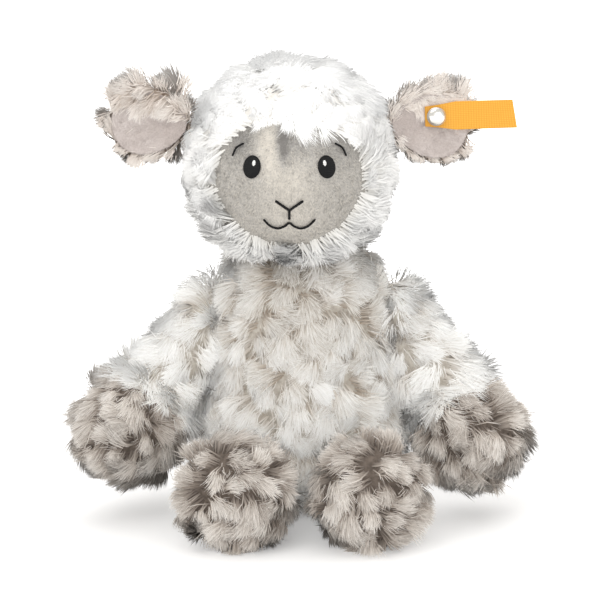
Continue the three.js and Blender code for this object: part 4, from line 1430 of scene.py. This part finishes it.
def build_tag():
    rivet = Vector((RIVET_PLACE[0], EAR_CUP, RIVET_PLACE[1]))
    place = ear_place("right", 1) @ Matrix.Translation(rivet)
    level = place @ Matrix.Rotation(math.radians(-RIBBON_TILT - EAR_DROOP["right"]), 4, "Y")
    depth = 1.5
    layer = 0.5
    fold = depth / 2 - layer / 2
    out = np.linspace(RIBBON_REACH, -RIBBON_FOLD + depth / 2, 44)
    back = np.column_stack([out, [ribbon_back(max(x, 0)) - layer / 2 for x in out]])
    angles = np.linspace(math.pi / 2, 3 * math.pi / 2, 10)[1:-1]
    centre = (-RIBBON_FOLD + depth / 2, ribbon_back(0) - depth / 2)
    bend = np.column_stack([centre[0] + fold * np.cos(angles), centre[1] + fold * np.sin(angles)])
    front = back[::-1] - (0, depth - layer)
    path = np.vstack([back, bend, front])
    run = np.r_[0, np.cumsum(np.linalg.norm(np.diff(path, axis=0), axis=1))]
    rest_selection()
    bpy.ops.mesh.primitive_grid_add(x_subdivisions=len(path) - 1, y_subdivisions=10, size=1)
    ribbon = bpy.context.object
    ribbon.name = "ribbon"
    flat = vertex_places(ribbon) * MM
    column = np.rint((flat[:, 0] + 0.5) * (len(path) - 1)).astype(int)
    along = path[column, 0]
    wide = np.interp(along, (-RIBBON_FOLD, 1.0, 9.0), (0.7, 0.8, 1.0))
    height = flat[:, 1] * RIBBON_WIDTH
    slant = math.tan(math.radians(8)) * (height + RIBBON_WIDTH / 2)
    along = along - slant * np.clip((along - RIBBON_REACH * 0.6) / (RIBBON_REACH * 0.4), 0, 1)
    sway = 0.25 * np.sin(along / 9.0) * (along > 8)
    sway += 0.16 * np.sin(flat[:, 1] * 5 * math.pi) * np.interp(along, (0, 9), (1, 0))
    chart = ribbon.data.uv_layers.new(name="weave")
    index = read_all(ribbon.data.loops, "vertex_index", 1, int)[:, 0]
    weave = np.column_stack([run[column], height])[index]
    chart.data.foreach_set("uv", weave.astype(np.float32).ravel())
    bent = np.column_stack([along, path[column, 1] + sway, height * wide])
    move_vertices(ribbon, move_by(bent, level))
    apply_modifier(ribbon, "SOLIDIFY", "thickness", thickness=0.42 * MM, offset=0.0)
    apply_modifier(ribbon, "BEVEL", "soft_edges", width=0.12 * MM, segments=2, limit_method="ANGLE")
    smooth(ribbon)
    wear(ribbon, "tag", gold_satin, "ribbon_tag")

    cap_back = 0.3 - (ribbon_back(4.5) - depth)
    front, end = -EAR_THICKNESS / 2 - 0.3, -EAR_THICKNESS / 2 - 1.1
    rim = 0.6
    dome = arc(4.2, 1.75, cap_back + rim, 0.12, math.pi / 2, 12)
    profile = [
        (0, end), (1.5, end), (1.5, cap_back), (4.3, cap_back), (4.5, cap_back + 0.2),
        (4.5, cap_back + rim - 0.1), *dome[:-1], (0, cap_back + rim + 1.75),
    ]
    ring = [
        (1.8, end), (4.0, end), (4.2, end + 0.2), (4.2, front - 0.1), (4.0, front), (1.8, front),
        (1.8, end),
    ]
    upright = place @ Matrix.Rotation(math.radians(90), 4, "X")
    standing = Matrix.Scale(MM, 4) @ upright @ Matrix.Scale(1 / MM, 4)
    for name, form, node in (("rivet_cap", profile, "rivet"), ("rivet_ring", ring, "rivet_washer")):
        metal = add_spun(name, form, standing, 40)
        bpy.ops.object.shade_smooth_by_angle(angle=math.radians(35))
        wear(metal, "ear_right", nickel, node)
    flat = (RIBBON_WIDTH * MM, float(run[-1]) * MM)


# Limbs and tail

def flank_normal(side_name, side):
    """Out of the torso along the axis of an arm."""
    joint = next(j for j in frame["joints"] if j["name"] == f"arm_{side_name}_swing")
    return -side * np.array(joint["axis"])


def build_limb(kind, side_name, side, limb, direction, seeds):
    """A furred limb and the paw or foot at its end."""
    root = JOINT_AT[f"{kind}_{side_name}_swing"]
    body = f"{kind}_{side_name}"
    end = "paw" if kind == "arm" else "foot"
    place = aim(root, direction)
    skin = add_spun(f"{kind}_skin_{side_name}", limb_profile(limb, SKIN_INSET), place, 32)
    tip = add_spun(f"{end}_skin_{side_name}", tip_profile(limb, SKIN_INSET), place, 36)
    normal = flank_normal(side_name, side)
    if kind == "arm":
        bisect(skin, root + normal * 1.7, -normal)
    wear(skin, body, cream_backing, f"{kind}_cover_{side_name}", f"{kind}_filling_{side_name}")
    wear(tip, body, taupe_backing, f"{end}_cover_{side_name}")

    def along(points):
        return (points - root) @ direction

    stuff(skin, lambda p: (along(p) > limb["cuff_at"] - 4) | (along(p) < -6), cap=2.0)
    stuff(tip, lambda p: along(p) < limb["cuff_at"] + 5, cap=2.0)

    def down_limb(points, normals):
        return np.tile(direction, (len(points), 1)) + 0.25 * normals

    def swirl_tip(points, normals):
        """Out from a spot near the top of the sole, and mostly down it."""
        spot = root + direction * (limb["end"] - 4) + UP * 17
        away = unit(points - spot)
        sole = np.clip(normals @ direction, 0, 1)[:, None]
        return away - UP * 0.7 * sole + 0.25 * direction

    def on_limb(points, normals):
        """The part of the limb that is out of the torso."""
        out = (
            (points - root) @ normal > 2.2 if kind == "arm"
            else np.hypot(points[:, 0], points[:, 1]) > 44
        )
        return out & (along(points) < limb["cuff_at"] - 0.5)

    # Where the taupe pile begins
    border = limb["cuff_at"] + (5.0 if kind == "arm" else 2.0)

    def on_tip(points, normals):
        return (along(points) > border) & (points[:, 2] > 0.5)

    def on_border(points, normals):
        run = along(points)
        return (run <= border) & (run > limb["cuff_at"] + 1.2) & (points[:, 2] > 0.5)

    def over_the_cuff(points, normals):
        """Longer on the outside of the arm, and where it hangs over the paw."""
        outside = np.clip(normals[:, 0] * side, 0, 1) * (kind == "arm")
        return 1 + 0.2 * np.clip((along(points) - limb["cuff_at"] + 12) / 10, 0, 1) + 0.35 * outside

    coat = coat_of(length=14.5, phase=seeds * 1.7, density=3.4, tone=0.93, shade=0.65)
    tuft = coat_of(
        density=3.8, length=12.5 if kind == "arm" else 11.5, lock=6.5, rise=0.85, hook=0.8,
        curl=0.35, waist=(0.3, 0.6), end=(0.0, 0.5), blunt=0.6, swirl=65.0, swirl_mm=11.0,
        tone=0.5, tone_spread=0.22, streak=0.16, shade=0.8, phase=seeds * 0.9, crown=1.8,
    )
    grow(f"{kind}_pile_{side_name}", body, skin, cream_fibre, coat, 50 + seeds, on_limb, down_limb,
         over_the_cuff)
    hem = dict(coat, rise=0.6, length=coat["length"] * 1.05)
    grow(f"{kind}_hem_{side_name}", body, tip, cream_fibre, hem, 70 + seeds, on_border, down_limb)
    grow(f"{end}_pile_{side_name}", body, tip, taupe_fibre, tuft, 60 + seeds, on_tip,
         down_limb if kind == "arm" else swirl_tip)


def build_limbs():
    for number, (name, side) in enumerate(SIDES):
        build_limb("arm", name, side, ARM, arm_direction(name, side), number)
        build_limb("leg", name, side, LEG, leg_direction(side), number + 4)


def build_tail():
    root = JOINT_AT["tail_lift"]
    drop = math.radians(TAIL["drop"])
    direction = np.array([0, math.cos(drop), -math.sin(drop)])
    skin = add_spun("tail_skin", tail_profile(2.0), aim(root, direction), 24)
    wear(skin, "tail", cream_backing, "tail")
    coat = coat_of(length=12.0, lock=6.5, density=3.0, rise=0.5)

    def outside(points, normals):
        return (points - root) @ direction > -1.0

    def down_tail(points, normals):
        return np.tile(direction, (len(points), 1))

    grow("tail_pile", "tail", skin, cream_fibre, coat, 71, outside, down_tail)


scene = bpy.context.scene
scene.view_settings.view_transform = "Standard"
build_camera()
build_lights()
build_floor()
build_torso()
build_neck()
build_head()
build_face()
build_embroidery()
for ear_name, ear_side in SIDES:
    build_ear(ear_name, ear_side)
build_tag()
build_limbs()
build_tail()
rest_selection()
